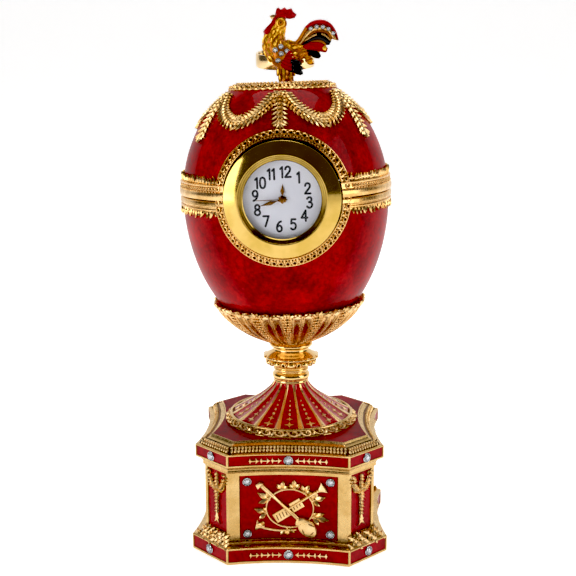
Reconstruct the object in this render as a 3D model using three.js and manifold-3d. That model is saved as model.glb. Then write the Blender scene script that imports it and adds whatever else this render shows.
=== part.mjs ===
// A jewelled table egg with a clock in its front, on a cup, a knop, a fluted skirt and an eight-sided plinth.
// Millimetres, +Z up. The origin is the centre of the plinth's underside and the clock faces -Y.

import * as THREE from 'three';
import { mergeVertices } from 'three/addons/utils/BufferGeometryUtils.js';
import Module from 'manifold-3d';

const wasm = await Module();
wasm.setup();

const GAP = 0.3; // clearance between pieces that touch
const TURN = 2 * Math.PI;
const DEGREE = Math.PI / 180;

// Plinth: half width of a wide side, distance of that side from the axis, and how far its middle curves in
const foot = { half: 20.5, out: 33.5, height: 5.8 };
const body = { half: 20.1, out: 28.8, bottom: 6.6, top: 31.6 };
const cornice = { half: 20.2, out: 32.0, bottom: 33.6, top: 38.2 };
const SIDE_SAG = 2.4;
const SIDE_STEPS = 4;
const RELIEF_SINK = 1.0; // how far the back of a relief lies in the casting
const panel = { halfWidth: 16.3, bottom: 6.9, top: 29.7, depth: 0.4 };
const cornerPanel = { halfWidth: 4.7, bottom: 9.4, top: 30.4, depth: 0.4 };
const wreath = { outer: 37.4, outerHalf: 8.2, low: 6.3, inner: 34.7, innerHalf: 6.0, high: 9.0 };

// Pedestal: plate, scroll ring and skirt
const plate = { half: 18.5, out: 26.6, bottom: 40.3, top: 41.2 };
const skirt = { ribs: 16, foot: 21.2, footZ: 43.6, neck: 6.0, neckZ: 54.6, flare: 1.65, rib: 0.45 };
const scrollRing = { inner: 21.0, outer: 22.8, bottom: 41.2, top: 43.3 };

// Knop
const knop = { bottom: 54.9, top: 68.4 };
const knopBeads = 12;
const knopSides = 16;

// The egg group leans to its own right hand, as the cup is screwed on slightly crooked
const LEAN = -1.7 * DEGREE;
const LEAN_HEIGHT = 66;

// Egg: enamelled surface is two half ellipsoids that meet at the seam
const EGG_SIDES = 28;
const CAVITY_SIDES = 16;
const egg = { radius: 35.0, centre: 121.0, below: 50.3, above: 41.5, wall: 1.8, seam: 122.5 };
const band = { radius: 36.0, lowerDrop: 5.6, upperRise: 6.6 };
const crown = { radius: 17.4, bottom: 155.9, top: 158.4 };
const cup = { lobes: 32, bottom: 68.9, rim: 84.3, rimRadius: 25.5, tip: 1.3 };
const swags = { count: 6, span: 54, top: 155.3, bottom: 146.4, dropEnd: 144.3, width: 4.4, rise: 1.1, sink: 0.5 };

// Clock: its axis is level and meets the egg's axis
const clock = { height: 123.1, shift: 0.2, bezel: 18.4, opening: 18.9, dial: 12.8 };
const hands = { hour: 2.4, minute: 255.2, second: 269.4 }; // degrees clockwise from the egg's axis
const CLOCK_SIDES = 18;
const clockFront = -36.6; // the bezel's foremost plane
const collar = { inner: 18.9, outer: 21.2, rise: 0.7 };

// Cockerel, in a frame whose origin is between its feet
const rooster = { x: 1.65, foot: 158.75, bodyHalf: 3.5 };

const gold = { color: 0xd9a84e, roughness: 0.3, metalness: 1 };
const polished = { color: 0xd8ac3a, roughness: 0.12, metalness: 1 };
const enamel = { color: 0xa80012, roughness: 0.15, metalness: 0.2 };

const object = new THREE.Group();
const leaning = new THREE.Group();
leaning.position.set(0, 0, LEAN_HEIGHT);
leaning.rotation.y = LEAN;
object.add(leaning);
const upper = new THREE.Group();
upper.position.set(0, 0, -LEAN_HEIGHT);
leaning.add(upper);

// Three geometry to solid and back

function solidOf(geometry) {
  const bare = geometry.clone();
  bare.deleteAttribute('normal');
  bare.deleteAttribute('uv');
  const merged = mergeVertices(bare, 1e-4);
  const vertProperties = new Float32Array(merged.attributes.position.array);
  const triVerts = new Uint32Array(merged.index.array);
  return new wasm.Manifold(new wasm.Mesh({ numProp: 3, vertProperties, triVerts }));
}

function geometryOf(solid) {
  const mesh = solid.getMesh();
  const geometry = new THREE.BufferGeometry();
  const places = [];
  for (let v = 0; v < mesh.numVert; v += 1) {
    const start = v * mesh.numProp;
    places.push(mesh.vertProperties[start], mesh.vertProperties[start + 1], mesh.vertProperties[start + 2]);
  }
  geometry.setAttribute('position', new THREE.Float32BufferAttribute(places, 3));
  geometry.setIndex([...mesh.triVerts]);
  geometry.computeVertexNormals();
  return geometry;
}

function addNode(group, name, shape, finish) {
  const geometry = shape.isBufferGeometry ? shape : geometryOf(shape);
  const mesh = new THREE.Mesh(geometry, new THREE.MeshStandardMaterial(finish));
  mesh.name = name;
  group.add(mesh);
  return mesh;
}

// A closed body through rings of points that all have the same count, capped at its two ends or joined in a loop
function loft(rings, looped = false) {
  const count = rings[0].length;
  const places = rings.flat().flatMap((p) => [p.x, p.y, p.z]);
  const faces = [];
  const last = looped ? rings.length : rings.length - 1;
  for (let r = 0; r < last; r += 1) {
    const next = (r + 1) % rings.length;
    for (let i = 0; i < count; i += 1) {
      const j = (i + 1) % count;
      faces.push(r * count + i, r * count + j, next * count + j);
      faces.push(r * count + i, next * count + j, next * count + i);
    }
  }
  if (!looped) {
    for (const [row, flip] of [[0, true], [rings.length - 1, false]]) {
      const centre = rings[row].reduce((sum, p) => sum.add(p), new THREE.Vector3()).divideScalar(count);
      const hub = places.length / 3;
      places.push(centre.x, centre.y, centre.z);
      for (let i = 0; i < count; i += 1) {
        const j = (i + 1) % count;
        faces.push(hub, row * count + (flip ? j : i), row * count + (flip ? i : j));
      }
    }
  }
  const geometry = new THREE.BufferGeometry();
  geometry.setAttribute('position', new THREE.Float32BufferAttribute(places, 3));
  geometry.setIndex(faces);
  return outward(geometry);
}

// Turns a closed body's faces to point out of it
function outward(geometry) {
  if (volumeOf(geometry) < 0) {
    geometry.setIndex([...geometry.index.array].reverse());
  }
  return geometry;
}

function volumeOf(geometry) {
  const at = geometry.attributes.position;
  const index = geometry.index.array;
  const [a, b, c] = [new THREE.Vector3(), new THREE.Vector3(), new THREE.Vector3()];
  let volume = 0;
  for (let i = 0; i < index.length; i += 3) {
    a.fromBufferAttribute(at, index[i]);
    b.fromBufferAttribute(at, index[i + 1]);
    c.fromBufferAttribute(at, index[i + 2]);
    volume += a.dot(b.cross(c)) / 6;
  }
  return volume;
}

// A turned body about +Z: profile is a list of [radius, height]
function turned(profile, segments) {
  const points = profile.map(([r, z]) => new THREE.Vector2(r, z));
  return outward(new THREE.LatheGeometry(points, segments).rotateX(Math.PI / 2));
}

// A turned body about the clock's axis: profile is a list of [radius, y]
function turnedClock(profile, segments) {
  const points = profile.map(([r, y]) => new THREE.Vector2(r, y));
  return outward(new THREE.LatheGeometry(points, segments).translate(clock.shift, 0, clock.height));
}

// One ring of a body whose radius changes round the axis
function ringOf(count, z, radiusAt) {
  return Array.from({ length: count }, (_, i) => {
    const angle = (TURN * i) / count;
    const r = radiusAt(angle);
    return new THREE.Vector3(r * Math.cos(angle), r * Math.sin(angle), z);
  });
}

function extruded(points, depth) {
  const shape = new THREE.Shape(points.map(([x, y]) => new THREE.Vector2(x, y)));
  return new THREE.ExtrudeGeometry(shape, { depth, bevelEnabled: false, curveSegments: 8 });
}

// Plinth

// The plan of a slab: four wide sides that curve in, joined by four flat corner faces
function planAt(half, out, z, sag = SIDE_SAG) {
  const points = [];
  for (let side = 0; side < 4; side += 1) {
    const turn = (side * Math.PI) / 2;
    for (let i = 0; i <= SIDE_STEPS; i += 1) {
      const along = half * ((2 * i) / SIDE_STEPS - 1);
      const back = out - sag * (1 - (along / half) ** 2);
      const p = new THREE.Vector3(along, -back, z);
      points.push(p.applyAxisAngle(new THREE.Vector3(0, 0, 1), turn));
    }
  }
  return points;
}

// Where a wide side of the body lies at a distance along it, and how it slopes there, on its flat facets
function sideFace(along) {
  const facet = (2 * body.half) / SIDE_STEPS;
  const start = Math.min(SIDE_STEPS - 1, Math.floor((along + body.half) / facet)) * facet - body.half;
  const curve = (x) => -(body.out - SIDE_SAG * (1 - (x / body.half) ** 2));
  const slope = (curve(start + facet) - curve(start)) / facet;
  return { y: curve(start) + slope * (along - start), slope };
}

// Turns a flat relief drawn in x and y into one that stands on the front panel, following its curve
function onPanel(geometry) {
  const at = geometry.attributes.position;
  for (let i = 0; i < at.count; i += 1) {
    const [x, up, out] = [at.getX(i), at.getY(i), at.getZ(i)];
    at.setXYZ(i, x, sideFace(x).y + panel.depth + RELIEF_SINK - out, up);
  }
  return geometry;
}

function ellipsePoints(cx, cy, rx, ry, tilt, count) {
  return Array.from({ length: count }, (_, i) => {
    const angle = (TURN * i) / count;
    const [x, y] = [rx * Math.cos(angle), ry * Math.sin(angle)];
    return [cx + x * Math.cos(tilt) - y * Math.sin(tilt), cy + x * Math.sin(tilt) + y * Math.cos(tilt)];
  });
}

// A straight tapering bar from one point to another
function barPoints(from, to, startHalf, endHalf) {
  const along = new THREE.Vector2(to[0] - from[0], to[1] - from[1]).normalize();
  const [nx, ny] = [-along.y, along.x];
  return [
    [from[0] + nx * startHalf, from[1] + ny * startHalf],
    [from[0] - nx * startHalf, from[1] - ny * startHalf],
    [to[0] - nx * endHalf, to[1] - ny * endHalf],
    [to[0] + nx * endHalf, to[1] + ny * endHalf],
  ];
}

function leafPoints(x, y, angle, length) {
  const tip = [x + length * Math.cos(angle), y + length * Math.sin(angle)];
  const middle = [x + 0.5 * length * Math.cos(angle), y + 0.5 * length * Math.sin(angle)];
  const [nx, ny] = [-Math.sin(angle) * length * 0.3, Math.cos(angle) * length * 0.3];
  return [[x, y], [middle[0] - nx, middle[1] - ny], tip, [middle[0] + nx, middle[1] + ny]];
}

// The music trophy: a ring of laurel, a lute, a horn and an open sheet of music
function trophy() {
  const centre = [0.3, 17.6];
  const ring = { x: 7.9, y: 6.7, half: 0.5 };
  const raise = RELIEF_SINK + 0.6;
  const parts = [];
  const count = 16;
  const rings = Array.from({ length: count }, (_, i) => {
    const angle = (TURN * i) / count;
    const edge = (grow, z) => new THREE.Vector3(
      centre[0] + (ring.x + grow) * Math.cos(angle),
      centre[1] + (ring.y + grow) * Math.sin(angle),
      z,
    );
    return [edge(-ring.half, 0), edge(ring.half, 0), edge(ring.half, raise), edge(-ring.half, raise)];
  });
  parts.push(onPanel(loft(rings, true)));
  for (const degrees of [62, 90, 118, 158, 196, 255, 285, 338, 22]) {
    const angle = degrees * DEGREE;
    const [x, y] = [centre[0] + ring.x * Math.cos(angle), centre[1] + ring.y * Math.sin(angle)];
    parts.push(onPanel(extruded(leafPoints(x, y, angle, 3.0), raise)));
  }
  const sheet = barPoints([-4.3, 15.2], [4.6, 20.2], 2.5, 2.5);
  const horn = barPoints([11.8, 25.4], [-1.5, 16.6], 1.1, 0.35);
  const bell = barPoints([13.2, 26.2], [11.2, 24.9], 2.0, 0.7);
  const neck = barPoints([-9.4, 26.2], [4.6, 12.8], 0.75, 0.75);
  const lute = ellipsePoints(6.2, 10.9, 3.9, 2.7, -45 * DEGREE, 12);
  const pipe = barPoints([-10.4, 9.3], [-2.2, 8.7], 1.3, 0.35);
  parts.push(onPanel(extruded(sheet, raise + 0.15)));
  parts.push(onPanel(extruded(horn, raise + 0.3)));
  parts.push(onPanel(extruded(bell, raise + 0.35)));
  parts.push(onPanel(extruded(pipe, raise)));
  parts.push(onPanel(extruded(neck, raise + 0.5)));
  parts.push(onPanel(extruded(lute, raise + 0.7)));
  return parts;
}

// The flower festoon and its drop on a corner face, as a flat relief in x and y
function festoonOutline() {
  const steps = 6;
  const [half, top, dip, width] = [4.0, 28.6, 4.4, 0.7];
  const rim = (grow) => Array.from({ length: steps + 1 }, (_, i) => {
    const t = (2 * i) / steps - 1;
    return [t * (half - grow * 0.3), top - dip * (1 - t * t) - grow];
  });
  return [...rim(0), ...rim(2 * width).reverse()];
}

function dropOutline() {
  return [[-0.5, 28.4], [-0.5, 15.2], [-1.2, 14.6], [-1.5, 12.4], [0, 11.2], [1.5, 12.4], [1.2, 14.6], [0.5, 15.2], [0.5, 28.4]];
}

// The sloping wreath of leaves that lies on the foot's ledge below a corner face
function cornerWreath(corner) {
  const sink = 1.0;
  const section = (side) => [
    [wreath.outer, wreath.outerHalf, foot.height - sink],
    [wreath.outer, wreath.outerHalf, wreath.low],
    [wreath.inner, wreath.innerHalf, wreath.high],
    [wreath.inner - sink, wreath.innerHalf, wreath.high],
    [wreath.inner - sink, wreath.innerHalf, foot.height - sink],
  ].map(([out, half, z]) => new THREE.Vector3(side * half, -out, z));
  return loft([section(-1), section(1)]).rotateZ(Math.PI / 4 + (corner * Math.PI) / 2);
}

function cornerFaceDistance() {
  return (body.half + body.out) / Math.SQRT2;
}

// Stands a flat relief or cutter on a corner face
function onCorner(geometry, corner, depth) {
  geometry.rotateX(Math.PI / 2);
  geometry.translate(0, -(cornerFaceDistance() - depth), 0);
  return geometry.rotateZ(Math.PI / 4 + (corner * Math.PI) / 2);
}

function boxBetween(x0, x1, y0, y1, z0, z1) {
  const box = new THREE.BoxGeometry(x1 - x0, y1 - y0, z1 - z0);
  return box.translate((x0 + x1) / 2, (y0 + y1) / 2, (z0 + z1) / 2);
}

function plinthSolid() {
  let casting = solidOf(loft([
    planAt(foot.half, foot.out, 0),
    planAt(foot.half, foot.out, foot.height),
    planAt(foot.half - 0.2, foot.out - 0.9, foot.height),
    planAt(body.half + 0.2, body.out + 0.8, foot.height + 0.15),
    planAt(body.half, body.out, body.bottom),
    planAt(body.half, body.out, body.top),
    planAt(body.half + 0.1, body.out + 1.2, cornice.bottom),
    planAt(cornice.half, cornice.out, cornice.bottom),
    planAt(cornice.half, cornice.out, cornice.top),
    planAt(cornice.half - 0.4, cornice.out - 2.6, cornice.top),
    planAt(plate.half + 0.6, plate.out + 1.2, cornice.top + 1.5),
  ]));
  const skin = panel.depth;
  for (let side = 0; side < 4; side += 1) {
    const turn = side * 90;
    const inside = solidOf(loft([
      planAt(body.half, body.out - skin, panel.bottom - 1),
      planAt(body.half, body.out - skin, panel.top + 1),
    ]));
    const window = solidOf(boxBetween(-panel.halfWidth, panel.halfWidth, -40, -20, panel.bottom, panel.top));
    casting = casting.subtract(window.subtract(inside).rotate([0, 0, turn]));
    const half = cornerPanel.halfWidth;
    const recess = extruded([[-half, cornerPanel.bottom], [half, cornerPanel.bottom], [half, cornerPanel.top],
      [-half, cornerPanel.top]], 3);
    casting = casting.subtract(solidOf(onCorner(recess, side, cornerPanel.depth)));
    for (const outline of [festoonOutline(), dropOutline()]) {
      const relief = onCorner(extruded(outline, 1.0), side, cornerPanel.depth + 0.3);
      casting = casting.add(solidOf(relief));
    }
    casting = casting.add(solidOf(cornerWreath(side)));
  }
  for (const part of trophy()) {
    casting = casting.add(solidOf(part));
  }
  return casting;
}

// Clear stones: a flat-backed stone cut to a low point, drawn about its own +Z
function stoneGeometry(radius) {
  return turned([[0, 0], [radius, 0], [0, 0.95]], 7);
}

function addStone(name, radius, turn, x, y, z, slope = 0) {
  const geometry = stoneGeometry(radius).rotateX(Math.PI / 2).rotateZ(Math.atan(slope));
  geometry.translate(x, y - GAP, z).rotateZ(turn);
  addNode(object, name, geometry, { color: 0xe8eef4, roughness: 0.05, metalness: 0 });
}

function addStones() {
  const small = 1.35;
  const large = 1.5;
  const sides = ['front', 'right', 'back', 'left'];
  sides.forEach((side, s) => {
    const turn = (s * Math.PI) / 2;
    addStone(`stone_${side}_cornice`, large, turn, 0, -(cornice.out - SIDE_SAG), (cornice.bottom + cornice.top) / 2);
    addStone(`stone_${side}_foot`, large, turn, 0, -(foot.out - SIDE_SAG), foot.height / 2);
    const x = 14.0;
    const [high, low] = [27.4, 8.7];
    [[-x, high, 'upper_left'], [x, high, 'upper_right'], [-x, low, 'lower_left'], [x, low, 'lower_right']]
      .forEach(([along, z, place]) => {
        const face = sideFace(along);
        addStone(`stone_${side}_${place}`, small, turn, along, face.y + panel.depth, z, face.slope);
      });
    const cornerTurn = turn + Math.PI / 4;
    const corniceOut = (cornice.half + cornice.out) / Math.SQRT2;
    const footOut = (foot.half + foot.out) / Math.SQRT2;
    addStone(`stone_corner_${s + 1}_cornice`, large, cornerTurn, 0, -corniceOut, (cornice.bottom + cornice.top) / 2);
    addStone(`stone_corner_${s + 1}_foot`, large, cornerTurn, 0, -footOut, foot.height / 2);
  });
}

// Pedestal

function pedestalSolid() {
  const step = solidOf(loft([
    planAt(plate.half + 0.3, plate.out + 0.4, cornice.top + 1.5 + GAP),
    planAt(plate.half + 0.3, plate.out + 0.4, plate.bottom + 0.2),
    planAt(plate.half, plate.out, plate.top),
  ]));
  const ring = solidOf(turned([
    [0, plate.bottom],
    [scrollRing.outer, plate.bottom],
    [scrollRing.outer, scrollRing.bottom + 0.6],
    [scrollRing.inner + 0.9, scrollRing.top],
    [scrollRing.inner, scrollRing.top + 0.2],
    [0, scrollRing.top + 0.2],
  ], 32));
  const rows = 6;
  const around = skirt.ribs * 2;
  const rings = Array.from({ length: rows + 1 }, (_, i) => {
    const t = i / rows;
    const z = skirt.footZ - 0.6 + (skirt.neckZ - skirt.footZ + 0.6) * t ** 0.8;
    const rise = Math.max(0, (z - skirt.footZ) / (skirt.neckZ - skirt.footZ));
    const radius = skirt.neck + (skirt.foot - skirt.neck) * (1 - rise) ** skirt.flare;
    return ringOf(around, z, (angle) => radius + skirt.rib * (Math.cos(angle * skirt.ribs) - 1) * (radius / skirt.foot));
  });
  return step.add(ring).add(solidOf(loft(rings)));
}

// Knop

function knopSolid() {
  const profile = [
    [0, knop.bottom], [6.0, knop.bottom], [6.5, 56.4], [5.5, 58.1], [5.6, 60.0], [7.6, 60.6], [8.4, 63.0],
    [10.0, 64.3], [6.2, 66.0], [7.2, 67.0], [6.4, knop.top], [0, knop.top],
  ];
  const turnedPart = solidOf(turned(profile, knopSides));
  const beads = Array.from({ length: 3 }, (_, row) => {
    const z = 60.8 + row * 1.0;
    const swell = Math.sin(((row + 0.5) * Math.PI) / 3);
    return ringOf(knopBeads * 2, z, (angle) => 7.3 + swell * (0.9 + 0.7 * Math.cos(angle * knopBeads)));
  });
  return turnedPart.add(solidOf(loft(beads)));
}

// Egg and cup

function eggRadius(z, inset = 0) {
  const height = z > egg.centre ? egg.above : egg.below;
  const ratio = (z - egg.centre) / (height - inset);
  return (egg.radius - inset) * Math.sqrt(Math.max(0, 1 - ratio * ratio));
}

// Points of the egg's surface from one height to another, as a profile
function eggProfile(from, to, steps, inset = 0) {
  return Array.from({ length: steps + 1 }, (_, i) => {
    const t = i / steps;
    const z = from + (to - from) * t;
    return [eggRadius(z, inset), z];
  });
}

// The lower half of the egg before it is hollowed
function eggUnderside() {
  const rim = egg.seam - GAP / 2;
  const profile = [
    [0, egg.centre - egg.below],
    ...eggProfile(egg.centre - egg.below + 1.2, rim - band.lowerDrop - 1.8, 6),
    [35.0, rim - band.lowerDrop],
    [35.6, rim - band.lowerDrop + 1.6],
    [band.radius, rim - 2.2],
    [band.radius - 0.1, rim],
    [0, rim],
  ];
  return solidOf(turned(profile, EGG_SIDES));
}

function cupSolid() {
  const around = cup.lobes * 2;
  const tipped = (radius, z) => ringOf(around, z, () => radius).map((p, i) => {
    p.z += i % 2 ? -cup.tip : cup.tip;
    return p;
  });
  const outside = [[7.4, cup.bottom], [14.0, 72.2], [21.6, 78.4]].map(([radius, z], row) => {
    const depth = row * 0.25;
    return ringOf(around, z, (angle) => radius + depth * Math.cos(angle * cup.lobes));
  });
  const inside = [78.4, 73.4].map((z) => ringOf(around, z, () => eggRadius(z) + 2 * GAP));
  return loft([
    ...outside,
    tipped(cup.rimRadius + 0.3, cup.rim),
    tipped(eggRadius(cup.rim + cup.tip) + GAP, cup.rim),
    ...inside,
    ringOf(around, egg.centre - egg.below - 1.4 * GAP, () => 4),
  ]);
}

function clockOpening(radius, depth) {
  return solidOf(turnedClock([[0, -45], [radius, -45], [radius, depth], [0, depth]], 24));
}

// A raised collar round the clock, lying on the egg's surface
function collarSolid() {
  const steps = 24;
  const rings = Array.from({ length: steps }, (_, i) => {
    const angle = (TURN * i) / steps;
    const width = Math.sin(angle) > -0.1 ? collar.outer : collar.inner + 1.0;
    const point = (r, rise) => {
      const x = r * Math.cos(angle);
      const z = clock.height + r * Math.sin(angle);
      const surface = Math.sqrt(Math.max(0, eggRadius(z) ** 2 - (x + clock.shift) ** 2));
      return new THREE.Vector3(x + clock.shift, -surface - rise, z);
    };
    return [point(width, -1.0), point(width - 0.3, collar.rise), point(collar.inner, collar.rise),
      point(collar.inner, -1.0)];
  });
  return solidOf(loft(rings, true));
}

function eggShellSolid() {
  const rim = egg.seam - GAP / 2;
  const inside = [
    [0, egg.centre - egg.below + egg.wall],
    ...eggProfile(egg.centre - egg.below + egg.wall + 1.5, rim - 3, 4, egg.wall),
    [egg.radius - egg.wall, rim + 1],
    [0, rim + 1],
  ];
  const below = solidOf(boxBetween(-50, 50, -50, 50, 50, rim));
  return eggUnderside()
    .add(collarSolid().intersect(below))
    .subtract(solidOf(turned(inside, CAVITY_SIDES)))
    .subtract(clockOpening(clock.opening, -25));
}

// One point of a garland: where it lies round the egg and how high
function onEgg(angle, z, rise) {
  const r = eggRadius(z) + rise;
  return new THREE.Vector3(r * Math.sin(angle), -r * Math.cos(angle), z);
}

// A leafy strip along a path on the egg, wide at its leaf tips and narrow between them
function garland(path, width) {
  return solidOf(loft(path.map(([angle, z, turn], i) => {
    const half = (width / 2) * (i % 2 ? 0.72 : 1);
    const reach = half / eggRadius(z);
    const [across, up] = [Math.cos(turn) * reach, Math.sin(turn) * half];
    return [
      onEgg(angle - across, z - up, -swags.sink),
      onEgg(angle, z, swags.rise),
      onEgg(angle + across, z + up, -swags.sink),
    ];
  })));
}

function addSwags(solid) {
  const step = TURN / swags.count;
  const reach = THREE.MathUtils.degToRad(swags.span / 2);
  const fall = swags.top - swags.bottom;
  const sag = 1.4; // power of the swag's curve
  let dressed = solid;
  for (let s = 0; s < swags.count; s += 1) {
    const start = s * step;
    const drop = Array.from({ length: 5 }, (_, i) => [start, swags.top - (i * (swags.top - swags.dropEnd)) / 4, 0]);
    dressed = dressed.add(garland(drop, swags.width));
    const steps = 6;
    const loop = Array.from({ length: steps + 1 }, (_, i) => {
      const t = (2 * i) / steps - 1;
      const z = swags.bottom + fall * Math.abs(t) ** sag;
      const slope = (fall * sag * Math.sign(t) * Math.abs(t) ** (sag - 1)) / (reach * eggRadius(z));
      return [start + step / 2 + t * reach, z, Math.PI / 2 + Math.atan(slope)];
    });
    dressed = dressed.add(garland(loop, swags.width));
  }
  return dressed;
}

function eggLidSolid() {
  const rim = egg.seam + GAP / 2;
  const outside = [
    [0, rim],
    [band.radius - 0.2, rim],
    [band.radius, rim + 2.4],
    [band.radius - 0.1, rim + 4.8],
    [band.radius - 0.9, band.upperRise + rim],
    ...eggProfile(band.upperRise + rim + 1.6, crown.bottom - 0.5, 5),
    [crown.radius, crown.bottom],
    [crown.radius - 1.6, crown.top],
    [0, crown.top],
  ];
  const top = crown.bottom - 1.2;
  const inside = [
    [0, rim - 1],
    [egg.radius - egg.wall, rim - 1],
    ...eggProfile(rim + 4, top, 4, egg.wall),
    [0, top],
  ];
  const above = solidOf(boxBetween(-50, 50, -50, 50, rim, 170));
  return addSwags(solidOf(turned(outside, EGG_SIDES)))
    .add(collarSolid().intersect(above))
    .subtract(solidOf(turned(inside, CAVITY_SIDES)))
    .subtract(clockOpening(clock.opening, -25));
}

// Clock

function addClock() {
  const back = -30.6;
  const dialBack = clockFront + 4.3;
  const dialFace = dialBack - 0.4;
  const bezelInner = 12.2;
  addNode(upper, 'clock_case', turnedClock([
    [0, -22], [17.2, -22], [17.2, back], [bezelInner + 0.9, back], [bezelInner + 0.9, dialBack + GAP],
    [0, dialBack + GAP],
  ], CLOCK_SIDES), polished);
  addNode(upper, 'bezel', turnedClock([
    [bezelInner + 1.2, back - GAP], [clock.bezel, back - GAP], [clock.bezel, back - 2.6],
    [clock.bezel, clockFront + 1.5], [14.4, clockFront], [13.7, clockFront + 0.2], [bezelInner, clockFront + 1.3],
    [bezelInner, clockFront + 2.6], [bezelInner + 1.2, clockFront + 3.2], [bezelInner + 1.2, back - GAP],
  ], CLOCK_SIDES), polished);
  addNode(upper, 'glass', turnedClock([
    [0, clockFront + 1.9], [bezelInner - GAP, clockFront + 1.9], [bezelInner - GAP, clockFront + 1.1],
    [0, clockFront + 1.1],
  ], CLOCK_SIDES), { color: 0xffffff, roughness: 0.02, metalness: 0, transparent: true, opacity: 0.2 });
  addNode(upper, 'dial', turnedClock([
    [0, dialBack], [clock.dial, dialBack], [clock.dial, dialFace], [0.45, dialFace], [0.45, dialFace - 1.1],
    [0, dialFace - 1.1],
  ], CLOCK_SIDES), { color: 0xe4e4ee, roughness: 0.4, metalness: 0 });
  addHands(dialFace);
}

// A flat hand with a round hub, drawn pointing up, then turned clockwise about the clock's axis
function handGeometry(outline, hubRadius, bore, y, thickness, degrees) {
  const shape = new THREE.Shape();
  const hubStart = Math.asin(Math.min(0.9, outline[0][0] / hubRadius));
  shape.moveTo(outline[0][0], hubRadius * Math.cos(hubStart));
  for (const [x, up] of outline.slice(1)) {
    shape.lineTo(x, up);
  }
  for (const [x, up] of outline.slice(1, -1).reverse()) {
    shape.lineTo(-x, up);
  }
  const steps = 10;
  for (let i = 0; i < steps; i += 1) {
    const angle = Math.PI / 2 + hubStart + ((TURN - 2 * hubStart) * i) / steps;
    shape.lineTo(hubRadius * Math.cos(angle), hubRadius * Math.sin(angle));
  }
  if (bore > 0) {
    const hole = new THREE.Path();
    hole.absarc(0, 0, bore, 0, TURN, true);
    shape.holes.push(hole);
  }
  const geometry = new THREE.ExtrudeGeometry(shape, { depth: thickness, bevelEnabled: false, curveSegments: 5 });
  geometry.rotateX(Math.PI / 2).translate(0, y, 0).rotateY(degrees * DEGREE);
  return geometry.translate(clock.shift, 0, clock.height);
}

function addHands(dialFace) {
  const brown = { color: 0x7a5418, roughness: 0.3, metalness: 1 };
  const thickness = 0.25;
  const hour = [[0.22, 1], [0.2, 2.0], [0.62, 2.6], [0.3, 3.9], [0, 5.0]];
  const minute = [[0.22, 1], [0.2, 2.4], [0.62, 3.4], [0.28, 5.4], [0, 7.6]];
  const second = [[0.12, 0.6], [0.1, 8.0], [0, 8.1]];
  addNode(upper, 'hour_hand', handGeometry(hour, 1.5, 0.75, dialFace - GAP, thickness, hands.hour), brown);
  addNode(upper, 'minute_hand', handGeometry(minute, 1.3, 0.75, dialFace - 0.55 - GAP, thickness, hands.minute), brown);
  addNode(upper, 'second_hand', handGeometry(second, 0.7, 0, dialFace - 1.1 - GAP, thickness, hands.second), brown);
}

// Cockerel

function ellipsoid(cx, cz, rx, ry, rz, tilt) {
  const ball = new THREE.SphereGeometry(1, 8, 5).scale(rx, ry, rz).rotateY(tilt);
  return solidOf(ball.translate(cx, 0, cz));
}

// A flat piece cut to an outline in x and z, centred on the cockerel's own plane
function flatPiece(points, halfThickness, y = 0) {
  const piece = extruded(points, 2 * halfThickness).rotateX(Math.PI / 2);
  return solidOf(piece.translate(0, halfThickness + y, 0));
}

// A curved tail feather: a crescent between two arcs that share the root and the tip
function feather(root, tip, bow, width) {
  const steps = 4;
  const axis = new THREE.Vector2(tip[0] - root[0], tip[1] - root[1]);
  const normal = new THREE.Vector2(-axis.y, axis.x).normalize();
  const edge = (side) => Array.from({ length: steps + 1 }, (_, i) => {
    const t = i / steps;
    const arch = bow * Math.sin(Math.PI * t) + side * (width / 2) * Math.sin(Math.PI * Math.min(0.92, t * 0.8 + 0.14));
    return [root[0] + axis.x * t + normal.x * arch, root[1] + axis.y * t + normal.y * arch];
  });
  return [...edge(-1), ...edge(1).reverse()];
}

function roosterSolid() {
  const comb = [[-4.3, 20.6], [-3.9, 22.2], [-3.0, 24.1], [-1.9, 23.2], [-0.7, 24.2], [0.2, 23.0], [1.7, 23.7],
    [2.1, 22.6], [3.2, 22.0], [2.4, 20.9], [0.6, 20.1], [-1.6, 19.6]];
  const wattle = [[-4.9, 20.4], [-6.0, 18.2], [-7.8, 16.8], [-7.6, 15.2], [-6.4, 14.9], [-4.9, 16.2], [-3.4, 19.2]];
  const beak = [[-4.0, 21.9], [-5.9, 21.2], [-4.9, 20.2], [-3.4, 20.2]];
  const wing = [[-4.8, 11.8], [-2.0, 12.6], [1.0, 11.0], [3.8, 6.8], [5.2, 2.9], [2.4, 3.2], [-1.4, 5.0], [-4.4, 8.0]];
  const root = [3.6, 9.6];
  let bird = ellipsoid(-1.9, 9.3, 6.4, rooster.bodyHalf, 4.7, -10 * DEGREE)
    .add(ellipsoid(-4.2, 14.4, 3.6, 2.7, 5.4, 14 * DEGREE))
    .add(ellipsoid(-2.5, 19.2, 2.3, 1.9, 2.4, 0))
    .add(ellipsoid(4.2, 9.3, 5.0, 2.4, 2.9, -22 * DEGREE))
    .add(flatPiece(comb, 0.6))
    .add(flatPiece(beak, 0.7))
    .add(flatPiece(wattle, 1.2));
  const plumes = [[[17.3, 13.7], 5.6, 3.4, 1.1], [[14.7, 12.6], 3.3, 1.9, 1.4], [[13.3, 10.2], 1.6, 1.9, 1.6],
    [[10.7, 8.2], 0.5, 1.7, 1.4]];
  for (const [tip, bow, width, half] of plumes) {
    bird = bird.add(flatPiece(feather([root[0] - 1.2, root[1]], tip, bow, width), half));
  }
  for (const side of [-1, 1]) {
    bird = bird.add(flatPiece(wing, 0.6, side * (rooster.bodyHalf - 0.4)));
  }
  const legs = loft([
    ringOf(8, 0, () => 2.4),
    ringOf(8, 2.4, () => 2.1),
    ringOf(8, 5.6, () => 3.0),
  ]).translate(-0.3, 0, 0);
  return bird.add(solidOf(legs));
}

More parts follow.
